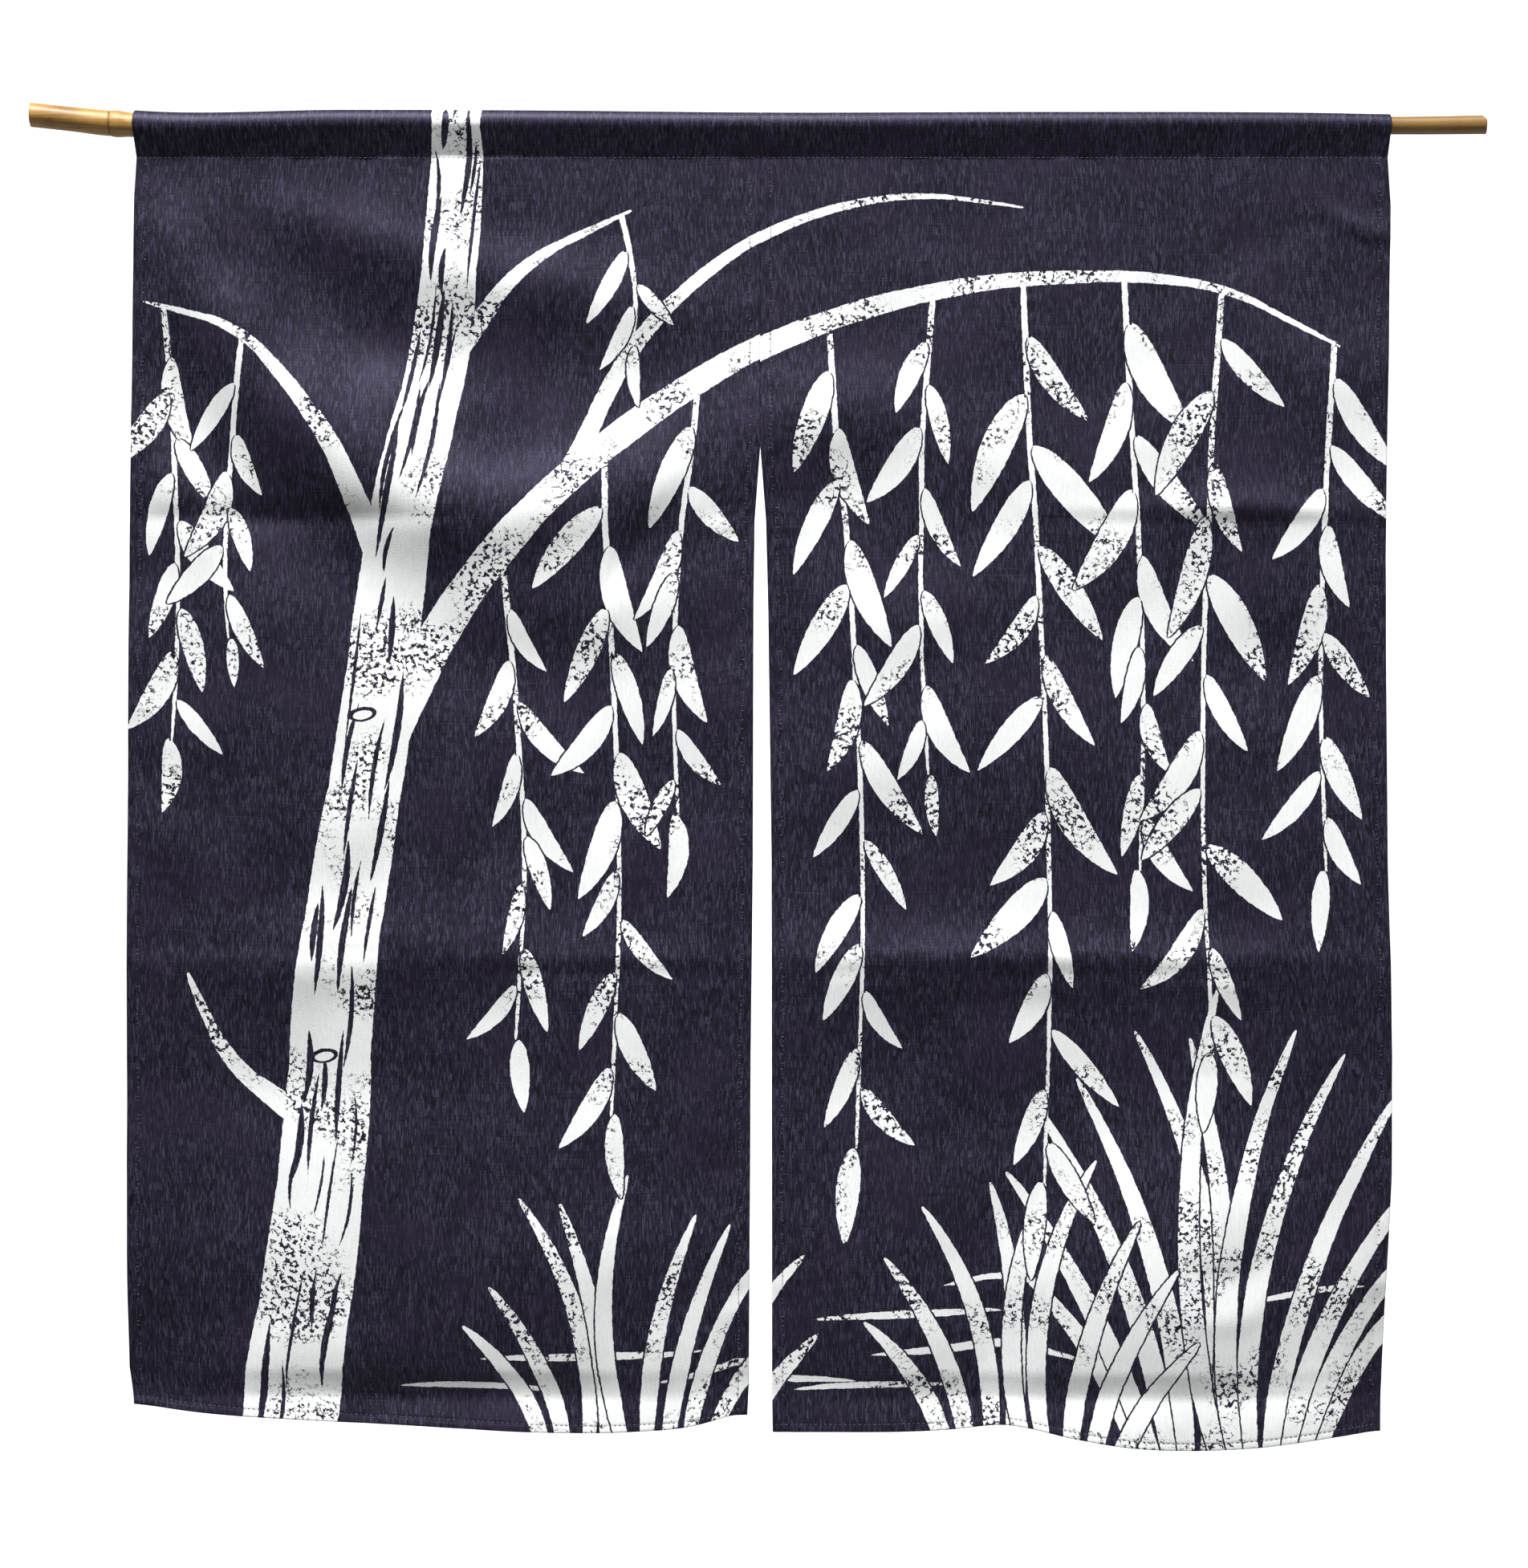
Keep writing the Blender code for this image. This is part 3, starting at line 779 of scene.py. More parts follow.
@dataclass(frozen=True)
class WillowPrint:
    """The block print: a willow whose twigs hang across both panels, over reeds and water."""

    seed: int = 11

    def trunk(self) -> list[Stroke]:
        """Trunk, its stubs and its main branches."""
        limbs = (
            Limb(TRUNK, 33 * MM, 16 * MM, 0.09),
            Limb(((-0.268, -0.470), (-0.190, -0.315), (-0.085, -0.205), (0.050, -0.132), (0.190, -0.104),
                  (0.310, -0.110), (0.392, -0.150)), 15 * MM, 1.3 * MM, 0.06),
            Limb(((-0.240, -0.320), (-0.300, -0.195), (-0.352, -0.140), (-0.412, -0.122)),
                 10 * MM, 1.2 * MM, 0.05),
            Limb(((-0.130, -0.245), (-0.075, -0.140), (0.010, -0.072), (0.110, -0.048), (0.178, -0.056)),
                 7 * MM, 0.9 * MM, 0.05),
            Limb(((-0.214, -0.170), (-0.150, -0.092), (-0.085, -0.058)), 8 * MM, 1.2 * MM, 0.05),
            Limb(((-0.290, -0.690), (-0.352, -0.640), (-0.378, -0.585)), 9 * MM, 2.0 * MM, 0.05),
        )
        return [stroke for limb in limbs for stroke in limb.strokes()]

    def bark(self, draw: np.random.Generator) -> list[Stroke]:
        """Gashes that follow the trunk, and two rings where limbs have gone."""
        length, read = smooth_path(TRUNK)
        centre = read(np.linspace(0.0, length, 21))
        found = []
        for i in range(len(centre) - 2):
            run = centre[i + 1] - centre[i]
            across = np.array([-run[1], run[0]]) / np.hypot(*run)
            width = np.interp(i, (0, len(centre)), (27 * MM, 14 * MM))
            for lane in (-0.72, -0.24, 0.24, 0.72):
                if draw.random() < 0.25:
                    continue
                aside = lane + draw.uniform(-0.16, 0.16)
                start = centre[i] + across * aside * width + run * draw.uniform(-0.2, 0.5)
                end = start + run * draw.uniform(0.6, 1.9) + across * draw.uniform(-3, 3) * MM
                half = draw.uniform(0.9, 2.6) * MM
                found.append(Stroke(tuple(start), tuple(end), half, half, draw.uniform(-3, 3) * MM,
                                    0.8, StrokeKind.CUT))
        for x, z in ((-0.287, -0.640), (-0.262, -0.405)):
            found.append(Stroke((x - 9 * MM, z), (x + 10 * MM, z + 4 * MM), 5 * MM, 5 * MM, 0.0, 0.5,
                                StrokeKind.CUT))
            found.append(Stroke((x - 6 * MM, z), (x + 7 * MM, z + 3 * MM), 3 * MM, 3 * MM, 0.0, 0.5,
                                StrokeKind.JOINED))
        return found

    def twigs(self) -> tuple[Twig, ...]:
        """The hanging twigs, from left to right."""
        return (
            Twig((-0.398, -0.126), 0.300, 0.012, 0.066, 0.031),
            Twig((-0.345, -0.148), 0.205, -0.010, 0.060, 0.030),
            Twig((-0.168, -0.292), 0.330, 0.016, 0.068, 0.032),
            Twig((-0.102, -0.222), 0.455, 0.014, 0.074, 0.034),
            Twig((-0.040, -0.176), 0.300, -0.012, 0.070, 0.033),
            Twig((0.048, -0.136), 0.560, 0.016, 0.080, 0.036),
            Twig((0.118, -0.112), 0.330, -0.012, 0.072, 0.034),
            Twig((0.178, -0.104), 0.620, 0.014, 0.082, 0.037),
            Twig((0.246, -0.102), 0.400, 0.012, 0.076, 0.035),
            Twig((0.312, -0.110), 0.520, -0.014, 0.080, 0.036),
            Twig((0.388, -0.146), 0.360, -0.008, 0.070, 0.034),
            Twig((-0.092, -0.060), 0.090, 0.010, 0.052, 0.026),
        )

    def water(self) -> list[Stroke]:
        """Long thin ripples on the water at the foot of the reeds."""
        rows = (
            (-0.180, -0.840, 0.150, 2.6), (-0.236, -0.862, 0.110, 2.2), (-0.060, -0.856, 0.120, 2.4),
            (0.030, -0.812, 0.130, 2.6), (0.070, -0.836, 0.150, 2.8), (0.016, -0.860, 0.110, 2.2),
            (0.330, -0.790, 0.080, 2.2), (0.120, -0.790, 0.070, 2.0),
        )
        return [Stroke((x, z), (x + length, z + 2 * MM), half * MM, half * MM, 2.5 * MM, 0.6,
                       StrokeKind.JOINED) for x, z, length, half in rows]

    def strokes(self) -> list[Stroke]:
        """Every stroke, in the order it is laid."""
        draw = np.random.default_rng(self.seed)
        found = self.trunk() + self.bark(draw) + self.water()
        clumps = (
            Reeds((0.318, -0.915), 13, 0.345, 0.62, 7.5 * MM),
            Reeds((0.180, -0.915), 9, 0.230, 0.50, 6.5 * MM),
            Reeds((-0.080, -0.905), 9, 0.205, 0.60, 6.0 * MM),
        )
        for clump in clumps:
            found += clump.strokes(draw)
        for twig in self.twigs():
            found += twig.strokes(draw)
        return found

    def layers(self, u: Array, v: Array) -> Array:
        """Give each face the strokes that reach it.

        A face holds up to six strokes, in the order they are laid. One that covers the whole
        face clears those under it, since nothing of them shows.

        Args:
            u: Cloth places across of each face's corners, faces by 4.
            v: Cloth places up, the same.

        Returns:
            (share, aside, power + 2 kind, half width) as layers by faces by corners by 4.
        """
        faces = len(u)
        data = np.empty((LAYERS, faces, 4, 4), np.float32)
        data[:] = NO_STROKE
        used = np.zeros(faces, int)
        centre_u, centre_v = u.mean(1), v.mean(1)
        reach = np.hypot(u[:, 0] - centre_u, v[:, 0] - centre_v) + LEAF_GAP + 0.6 * MM
        dropped = 0
        for stroke in self.strokes():
            here = stroke.inside(*stroke.coordinates(centre_u, centre_v)) > -reach
            rows = np.flatnonzero(here)
            share, aside, half = stroke.coordinates(u[rows], v[rows])
            if stroke.kind is not StrokeKind.CUT:
                full = (stroke.inside(share, aside, half) > 0.6 * MM).all(axis=1)
                used[rows[full]] = 0
                data[:, rows[full]] = NO_STROKE
            fits = used[rows] < LAYERS
            dropped += int((~fits).sum())
            rows, share, aside, half = rows[fits], share[fits], aside[fits], half[fits]
            code = np.full_like(share, stroke.power + 2 * stroke.kind.value)
            data[used[rows], rows] = np.stack([share, aside, code, half], axis=-1)
            used[rows] += 1
        LOG.info("print: %d of %d faces printed, %d strokes left out", (used > 0).sum(), faces, dropped)
        return data


# The cloth


@dataclass(frozen=True)
class PrintedCotton:
    """Cotton: piece-dyed indigo plain weave with slubs in the warp, block printed in white
    pigment. The slubs make short upright light dashes, and the dark dashes beside them are
    painted shade. The pigment is matt and chalky and has cracked away along old creases, and
    soft fibre ends give a faint sheen."""

    # Painted shade: the dark tone of the shaded dashes and thin wefts
    shadow: str = "08070B"
    ground: str = "1E1C2A"
    slub: str = "3B3649"
    plum: str = "22182B"
    pigment: str = "E9EBEA"
    # The dyed yarns are smooth enough to catch the light on every fold
    dyed_roughness: float = 0.55
    chalk_roughness: float = 0.92
    ior: float = 1.53
    specular: float = 0.28
    specular_tint: str = "DAD5FF"
    sheen: float = 0.03
    # A slub is about 0.6 mm wide and 3 to 6 mm long
    slub_width: float = 0.62 * MM
    slub_length: float = 4.6 * MM
    yarn_sway: float = 0.5 * MM
    # A thick weft thread shows for 10 to 60 mm at a time
    weft_width: float = 0.9 * MM
    weft_length: float = 45 * MM
    patch: float = 60 * MM
    # Yarns are 0.35 mm apart, too fine for the render, so they are drawn 1.1 mm apart
    yarn: float = 1.1 * MM
    # Cracks are 0.3 to 1 mm wide, and a piece of one is 2 to 8 mm long
    crack_size: float = 6.5 * MM
    crack_piece: float = 3.4 * MM
    crack_width: float = 0.078
    worn_patch: float = 55 * MM
    # Painted shade: a thin line along each line of stitches beside the seam, for the stitches' shadow
    seam_shade_line: float = 7.0 * MM
    seam_shade_width: float = 0.28 * MM
    # Edges of the block wander by about 0.3 mm over 5 mm
    edge_wander: float = 0.35 * MM
    edge_length: float = 5.0 * MM
    edge_soft: float = 0.25 * MM
    show_through: float = 0.22

    def slubs(self, tree: bpy.types.NodeTree, place: bpy.types.NodeSocket,
              wander: bpy.types.Node) -> bpy.types.Node:
        """Random tone of each upright dash of yarn.

        Yarn number = floor((x + sway) / width), and dash number = floor(z / length + a random
        shift of that yarn). Each pair of numbers has a random tone from 0 to 1.

        Args:
            tree: The material's tree.
            place: Cloth coordinates.
            wander: Slow noise that sways the yarns.

        Returns:
            The node that gives the tone.
        """
        parts = add_node(tree, "ShaderNodeSeparateXYZ", (place,)).outputs
        swayed = add_node(tree, MATH, (wander, self.yarn_sway, parts[0]), operation="MULTIPLY_ADD")
        yarn = add_node(tree, MATH, (swayed, 1 / self.slub_width), operation="MULTIPLY")
        yarn = add_node(tree, MATH, (yarn,), operation="FLOOR")
        shift = add_node(tree, "ShaderNodeTexWhiteNoise", {"W": yarn}, noise_dimensions="1D")
        dash = add_node(tree, MATH, (parts[1], 1 / self.slub_length, shift), operation="MULTIPLY_ADD")
        dash = add_node(tree, MATH, (dash,), operation="FLOOR")
        cell = add_node(tree, "ShaderNodeCombineXYZ", (yarn, dash))
        return add_node(tree, "ShaderNodeTexWhiteNoise", {"Vector": cell}, noise_dimensions="2D")

    def stroke_group(self) -> bpy.types.NodeTree:
        """Node group that lays one stroke on the mask of the print.

        With s, t, power and kind from the face corners it works out
        inside = ((4 s (1 - s)) ** power - |t|) * half width + wander, and returns
        max(mask * (1 - covered), added), where a leaf also covers a thin line around itself,
        a joined stroke covers nothing, and a cut adds nothing.

        Returns:
            The group.
        """
        tree = bpy.data.node_groups.new("lay_stroke", "ShaderNodeTree")
        for name in ("Mask", "Wander", "Half"):
            tree.interface.new_socket(name, in_out="INPUT", socket_type="NodeSocketFloat")
        tree.interface.new_socket("Stroke", in_out="INPUT", socket_type="NodeSocketVector")
        tree.interface.new_socket("Mask", in_out="OUTPUT", socket_type="NodeSocketFloat")
        given = tree.nodes.new("NodeGroupInput").outputs
        share, aside, code = add_node(tree, "ShaderNodeSeparateXYZ", (given["Stroke"],)).outputs
        found = {"mask": given["Mask"], "wander": given["Wander"], "half": given["Half"],
                 "s": share, "t": aside, "code": code}
        steps = (
            ("half code", "MULTIPLY", "code", 0.5),
            ("kind", "FLOOR", "half code"),
            ("power", "MULTIPLY_ADD", "kind", -2.0, "code"),
            ("rest", "SUBTRACT", 1.0, "s"),
            ("quarter", "MULTIPLY", "s", "rest"),
            ("lens", "MULTIPLY", "quarter", 4.0),
            ("within", "MAXIMUM", "lens", 0.0),
            ("rounded", "POWER", "within", "power"),
            ("beyond", "MINIMUM", "lens", 0.0),
            ("profile", "MULTIPLY_ADD", "beyond", BEYOND, "rounded"),
            ("aside", "ABSOLUTE", "t"),
            ("reach", "SUBTRACT", "profile", "aside"),
            ("inside", "MULTIPLY_ADD", "reach", "half", "wander"),
            # Full strength half an edge inside the line, nothing half an edge outside it
            ("shape", "MULTIPLY_ADD", "inside", 1 / self.edge_soft, 0.5),
            ("leaf", "COMPARE", "kind", StrokeKind.LEAF.value, 0.1),
            ("cut", "COMPARE", "kind", StrokeKind.CUT.value, 0.1),
            ("wide", "ADD", "inside", LEAF_GAP),
            ("wide shape", "MULTIPLY_ADD", "wide", 1 / self.edge_soft, 0.5),
            ("leaf cover", "MULTIPLY", "wide shape", "leaf"),
            ("cover", "MULTIPLY_ADD", "shape", "cut", "leaf cover"),
            ("open", "SUBTRACT", 1.0, "cover"),
            ("kept", "MULTIPLY", "mask", "open"),
            ("adds", "SUBTRACT", 1.0, "cut"),
            ("added", "MULTIPLY", "shape", "adds"),
            ("laid", "MAXIMUM", "kept", "added"),
        )
        for name, operation, *values in steps:
            sources = [found.get(value, value) for value in values]
            found[name] = add_node(tree, MATH, sources, operation=operation, use_clamp="shape" in name)
        add_node(tree, "NodeGroupOutput", (found["laid"],))
        return tree

    def print_mask(self, tree: bpy.types.NodeTree, place: bpy.types.NodeSocket, wander: bpy.types.Node,
                   group: bpy.types.NodeTree) -> bpy.types.NodeSocket:
        """Chain the strokes and take out the worn places and the painted shade lines beside the seam.

        Args:
            tree: The material's tree.
            place: Cloth coordinates.
            wander: Slow noise that moves the block's edges.
            group: The group that lays one stroke.

        Returns:
            1 where pigment lies, 0 where it is worn away, and 0.45 on the painted shade lines.
        """
        wander = add_node(tree, MAP_RANGE, {"Value": wander, "From Min": 0.3, "From Max": 0.7,
                                            "To Min": -self.edge_wander, "To Max": self.edge_wander})
        mask = None
        for i in range(LAYERS):
            stroke = add_node(tree, "ShaderNodeAttribute", attribute_name=f"stroke_{i}").outputs
            mask = add_node(tree, "ShaderNodeGroup", {"Mask": mask, "Wander": wander, "Half": stroke["Alpha"],
                                                      "Stroke": stroke["Vector"]}, node_tree=group)
        left = add_node(tree, MATH, (1.0, self.wear_and_seam_shade(tree, place)), operation="SUBTRACT")
        return add_node(tree, MATH, (mask, left), operation="MULTIPLY").outputs[0]

    def wear_and_seam_shade(self, tree: bpy.types.NodeTree, place: bpy.types.NodeSocket) -> bpy.types.NodeSocket:
        """Jagged cracks where pigment has come away, gathered in patches, and painted shade
        along the stitches beside the seam.

        Args:
            tree: The material's tree.
            place: Cloth coordinates.

        Returns:
            1 where the ground shows through, and 0.55 on the painted shade lines.
        """
        patches = add_node(tree, NOISE, {"Vector": place, "Scale": 1 / self.worn_patch, "Detail": 1.0})
        patches = add_node(tree, MAP_RANGE, {"Value": patches, "From Min": 0.48, "From Max": 0.64})
        # A crack follows a level line of the first noise, and the second breaks it into pieces
        lines = add_node(tree, NOISE, {"Vector": place, "Scale": 1 / self.crack_size, "Detail": 4.0,
                                       "Roughness": 0.62})
        apart = add_node(tree, MATH, (lines, 0.5), operation="SUBTRACT")
        apart = add_node(tree, MATH, (apart,), operation="ABSOLUTE")
        pieces = add_node(tree, NOISE, {"Vector": place, "Scale": 1 / self.crack_piece, "Detail": 2.0})
        pieces = add_node(tree, MAP_RANGE, {"Value": pieces, "From Min": 0.44, "From Max": 0.60,
                                            "To Max": self.crack_width})
        open_width = add_node(tree, MATH, (pieces, patches), operation="MULTIPLY")
        worn = add_node(tree, MATH, (apart, open_width), operation="LESS_THAN")
        # Painted shade: along the two lines of stitches beside the seam a thin line lets the ground half
        # through the pigment, for the stitches' shadow
        across = add_node(tree, "ShaderNodeSeparateXYZ", (place,))
        across = add_node(tree, MATH, (add_node(tree, MATH, (across, SEAM_X), operation="SUBTRACT"),),
                          operation="ABSOLUTE")
        seam_shade = add_node(tree, MATH, (across, self.seam_shade_line, self.seam_shade_width), operation="COMPARE")
        seam_shade = add_node(tree, MATH, (seam_shade, 0.55), operation="MULTIPLY")
        return add_node(tree, MATH, (worn, seam_shade), operation="MAXIMUM").outputs[0]

    def dress(self, name: str, strength: float, group: bpy.types.NodeTree) -> bpy.types.Material:
        """Build the material of one face of the cloth.

        Args:
            name: The material's name.
            strength: How strongly the print shows, 1 on the printed face.
            group: The group that lays one stroke.

        Returns:
            The material, which reads the UV map "cloth" in metres of cloth.
        """
        material, tree, shader = new_material(name, {
            "IOR": self.ior, "Specular IOR Level": self.specular, "Specular Tint": linear(self.specular_tint),
            "Sheen Weight": self.sheen, "Sheen Roughness": 0.5})
        place = add_node(tree, "ShaderNodeUVMap", uv_map="cloth").outputs[0]
        wander = add_node(tree, NOISE, {"Vector": place, "Scale": 1 / self.edge_length, "Detail": 2.0,
                                        "Roughness": 0.7})
        slubs = self.slubs(tree, place, wander)
        # Dashes in the shadow tone are painted shade beside the raised slubs, and pale ones are the slubs
        ramp = add_node(tree, RAMP, (slubs,))
        ramp.color_ramp.elements[0].position = 0.20
        ramp.color_ramp.elements[0].color = linear(self.shadow)
        ramp.color_ramp.elements[1].position = 0.92
        ramp.color_ramp.elements[1].color = linear(self.slub)
        ramp.color_ramp.elements.new(0.38).color = linear(self.ground)
        ramp.color_ramp.elements.new(0.76).color = linear(self.ground)
        weft = add_node(tree, MAPPING, {"Vector": place, "Scale": (
            1 / self.weft_length, 1 / self.weft_width, 1.0)})
        weft = add_node(tree, NOISE, {"Vector": weft, "Scale": 1.0, "Detail": 1.0})
        patches = add_node(tree, NOISE, {"Vector": place, "Scale": 1 / self.patch, "Detail": 1.0})
        dyed_and_shaded = ramp.outputs[0]
        # Pale thick wefts, thin ones darkened with painted shade, and slow patches where the dye leans to
        # plum
        for noise, low, high, most, tone in ((weft, 0.66, 0.73, 0.45, self.slub),
                                             (weft, 0.40, 0.34, 0.60, self.shadow),
                                             (patches, 0.50, 0.70, 0.45, self.plum)):
            part = add_node(tree, MAP_RANGE, {"Value": noise, "From Min": low, "From Max": high,
                                              "To Max": most})
            dyed_and_shaded = add_node(tree, MIX, {"Factor": part.outputs[0], "A": dyed_and_shaded, "B": linear(tone)},
                            data_type="RGBA").outputs["Result"]
        # The yarns show through the pigment as faint grey lines
        faint = add_node(tree, MAP_RANGE, {"Value": slubs, "To Min": 0.92, "To Max": 1.0})
        chalk = add_node(tree, MIX, {"Factor": 1.0, "A": linear(self.pigment), "B": faint.outputs[0]},
                         data_type="RGBA", blend_type="MULTIPLY")
        mask = self.print_mask(tree, place, wander, group)
        mask = add_node(tree, MATH, (mask, strength), operation="MULTIPLY")
        colour = add_node(tree, MIX, {"Factor": mask.outputs[0], "A": dyed_and_shaded, "B": chalk.outputs["Result"]},
                          data_type="RGBA")
        tree.links.new(colour.outputs["Result"], shader.inputs["Base Color"])
        rough = add_node(tree, MAP_RANGE, {"Value": mask, "To Min": self.dyed_roughness,
                                           "To Max": self.chalk_roughness})
        tree.links.new(rough.outputs[0], shader.inputs["Roughness"])
        yarns = add_node(tree, NOISE, {"Vector": place, "Scale": 1 / self.yarn, "Detail": 1.0})
        relief = add_node(tree, MATH, (slubs, 0.35, yarns), operation="MULTIPLY_ADD")
        bump = add_node(tree, "ShaderNodeBump", {"Strength": 0.5, "Distance": 0.25 * MM, "Height": relief})
        tree.links.new(bump.outputs[0], shader.inputs["Normal"])
        return material


@dataclass(frozen=True)
class Weave:
    """Sizes of the cloth as it is cut, folded and sewn."""

    thickness: float = 0.55 * MM
    layer: float = 0.90 * MM
    side_hem: float = 8.8 * MM
    hem_depth: float = 5.8 * MM
    hem_stitch: float = 4.9 * MM
    side_stitch: float = 7.0 * MM
    corner_bend: float = 1.35 * MM
    middle_bend: float = 0.50 * MM
    sleeve_ease: float = 1.25 * MM
    sleeve_end: float = 3.0 * MM
    front_offset: float = 0.325 * MM
    drop: float = 0.866

    @property
    def bend(self) -> float:
        """Radius of a side hem's fold, half the spacing of its layers."""
        return self.layer / 2


@dataclass
class Strip:
    """A cloth as a grid of rows down and columns across, on its middle surface.

    The grid starts at the raw end behind the sleeve, goes up over the cane, down the front,
    round the lower hem and up behind it. Normals point out of the printed face.
    """

    points: Array
    normals: Array
    cloth_x: Array
    cloth_z: Array


@dataclass(frozen=True)
class Columns:
    """Where each column of a strip lies across the panel.

    Share runs from 0 at the first edge to 1 at the last, and offset is added in metres. Turn
    is how far the column has gone round a side hem's fold, tuck is how far that puts it
    behind the front, side is -1 or 1 on a hem, and stack is 1 over a hem and 0 inside it.
    """

    share: Array
    offset: Array
    turn: Array
    tuck: Array
    side: Array
    stack: Array
    cloth_x: Array


@dataclass(frozen=True)
class Panel:
    """One hanging panel: its edges, lower edge and folds."""

    name: str
    node: str
    first_edge: tuple[Pair, ...]
    last_edge: tuple[Pair, ...]
    hem: tuple[Pair, ...]
    folds: tuple[Fold, ...]
    seed: int
    weave: Weave = Weave()

    def edge_x(self, edge: tuple[Pair, ...], z: Array) -> Array:
        """Place of an upright edge, given as (z, x) pairs from the top, at height z."""
        rows = edge[::-1]
        return np.interp(z, [p[0] for p in rows], [p[1] for p in rows])

    def across(self, share: Array, z: Array) -> Array:
        """Place at height z of what lies a share of the way from the first edge to the last."""
        return self.edge_x(self.first_edge, z) * (1 - share) + self.edge_x(self.last_edge, z) * share

    def hem_z(self, x: Array) -> Array:
        """Height of the lower edge at x."""
        return smooth_table([p[0] for p in self.hem], [p[1] for p in self.hem], x)

    def height(self, x: Array, z: Array) -> Array:
        """How far the cloth stands forward: folds, slow ripples, puckers and stitch grooves.

        The folds that both panels share carry on across the seam. A panel's own die out
        where the two are sewn. All grow from nothing at the sleeve's stitching.

        Args:
            x: Places across.
            z: Heights.

        Returns:
            The height towards the front.
        """
        shared = sum(fold.height_at(x, z) for fold in SHARED_FOLDS)
        own = sum(fold.height_at(x, z) for fold in self.folds)
        own = own + ripple(waves(self.seed, *CLOTH_WAVES), x, z)
        sewn = np.exp(-(((x - SEAM_X) / SEWN_WIDTH) ** 2))
        sewn = sewn * smooth_step(z, SLIT_TOP_Z - SEWN_FADE, SLIT_TOP_Z)
        grown = smooth_step(-z, -STITCH_Z, -STITCH_Z + FOLD_GROWTH)
        return grown * (shared + own * (1 - sewn)) + self.puckers(x, z)

    def puckers(self, x: Array, z: Array) -> Array:
        """Small waves that sewing draws up beside each line of stitches, and its groove."""
        weave = self.weave
        first = x - self.edge_x(self.first_edge, z) - weave.side_stitch
        last = self.edge_x(self.last_edge, z) - x - weave.side_stitch
        rise = z - self.hem_z(x) - weave.hem_stitch
        fall = STITCH_Z - z
        along_z = ripple(waves(self.seed + 1, *EDGE_WAVES), np.zeros_like(z), z)
        along_x = ripple(waves(self.seed + 2, *HEM_WAVES), x, np.zeros_like(x))
        total = 0.0
        for wave, away, reach in ((along_z, first, EDGE_PUCKER), (along_z, last, EDGE_PUCKER),
                                  (along_x, rise, HEM_PUCKER), (along_x, fall, SLEEVE_PUCKER)):
            total = total + wave * np.exp(-((away / reach) ** 2))
        for away, depth in ((first, 1.0), (last, 1.0), (rise, HEM_GROOVE)):
            total = total - depth * GROOVE_DEPTH * np.exp(-((away / GROOVE_WIDTH) ** 2))
        return total

    def sheet(self, x: Array, z: Array) -> tuple[Array, Array, Array]:
        """Front layer of the hanging cloth.

        Args:
            x: Places across.
            z: Heights.

        Returns:
            Points, normals out of the front, and unit vectors down along the cloth.
        """
        step = 0.4 * MM
        slope_x = (self.height(x + step, z) - self.height(x - step, z)) / (2 * step)
        slope_z = (self.height(x, z + step) - self.height(x, z - step)) / (2 * step)
        points = np.stack([x, -self.height(x, z) - self.weave.front_offset, z], axis=-1)
        normals = unit(np.stack([-slope_x, -np.ones_like(x), -slope_z], axis=-1))
        down = unit(np.stack([np.zeros_like(x), slope_z, -np.ones_like(x)], axis=-1))
        return points, normals, down

    def sleeve(self, x: Array, stack: Array) -> tuple[Array, Array, Array]:
        """Outer layer of the sleeve, from its raw end behind to the stitching in front.

        In the section across the cane the cloth is a circle of the cane's radius plus ease,
        and two straight walls that touch it and meet the stitching. The lean of a wall is
        atan(-y / drop) + asin(radius / hypot(drop, y)) for a foot at y.

        Args:
            x: Place of each column.
            stack: 1 where the side hems double the cloth.

        Returns:
            Points and normals, rows by columns by 3, and each row's cloth height.
        """
        weave = self.weave
        centre, radius = cane_height(x), cane_radius(x) + weave.sleeve_ease
        drop = centre - STITCH_Z
        front_y = -weave.front_offset * np.ones_like(x)
        back_y = (2.0 * weave.front_offset) + 2 * weave.layer * stack
        walls = []
        for foot in (front_y, -back_y):
            lean = np.arctan(foot / drop) + np.arcsin(radius / np.hypot(drop, foot))
            walls.append((lean, drop * np.cos(lean) + foot * np.sin(lean)))
        (lean_front, long_front), (lean_back, long_back) = walls
        tail = weave.sleeve_end * np.array([1.0, 0.5])[:, None]
        climb = np.linspace(0.0, 1.0, BACK_WALL_ROWS)[:-1, None]
        psi_back, psi_front = -math.pi / 2 - lean_back, math.pi / 2 + lean_front
        psi = psi_back + (psi_front - psi_back) * np.linspace(0.0, 1.0, ARC_ROWS)[:, None]
        out_arc = np.stack([-np.sin(psi), np.cos(psi)], axis=-1)
        arc = out_arc * radius[None, :, None]
        arc[..., 1] += centre
        foot_back = np.stack([back_y, np.full_like(x, STITCH_Z)], axis=-1)
        foot_front = np.stack([front_y, np.full_like(x, STITCH_Z)], axis=-1)
        wall_back = foot_back + climb[..., None] * (arc[0] - foot_back)
        fall = np.linspace(0.0, 1.0, FRONT_WALL_ROWS)[1:, None]
        wall_front = arc[-1] + fall[..., None] * (foot_front - arc[-1])
        end = foot_back - np.stack([np.zeros_like(tail * x), tail * np.ones_like(x)], axis=-1)
        section = np.concatenate([end, wall_back, arc, wall_front])
        out_end = np.broadcast_to([1.0, 0.0], end.shape)
        out_back = np.broadcast_to(out_arc[0], wall_back.shape).copy()
        out_front = np.broadcast_to(out_arc[-1], wall_front.shape).copy()
        out_back[0] = unit(out_back[0] + np.array([1.0, 0.0]))
        out_front[-1] = unit(out_front[-1] + np.array([-1.0, 0.0]))
        outward = np.concatenate([out_end, out_back, out_arc, out_front])
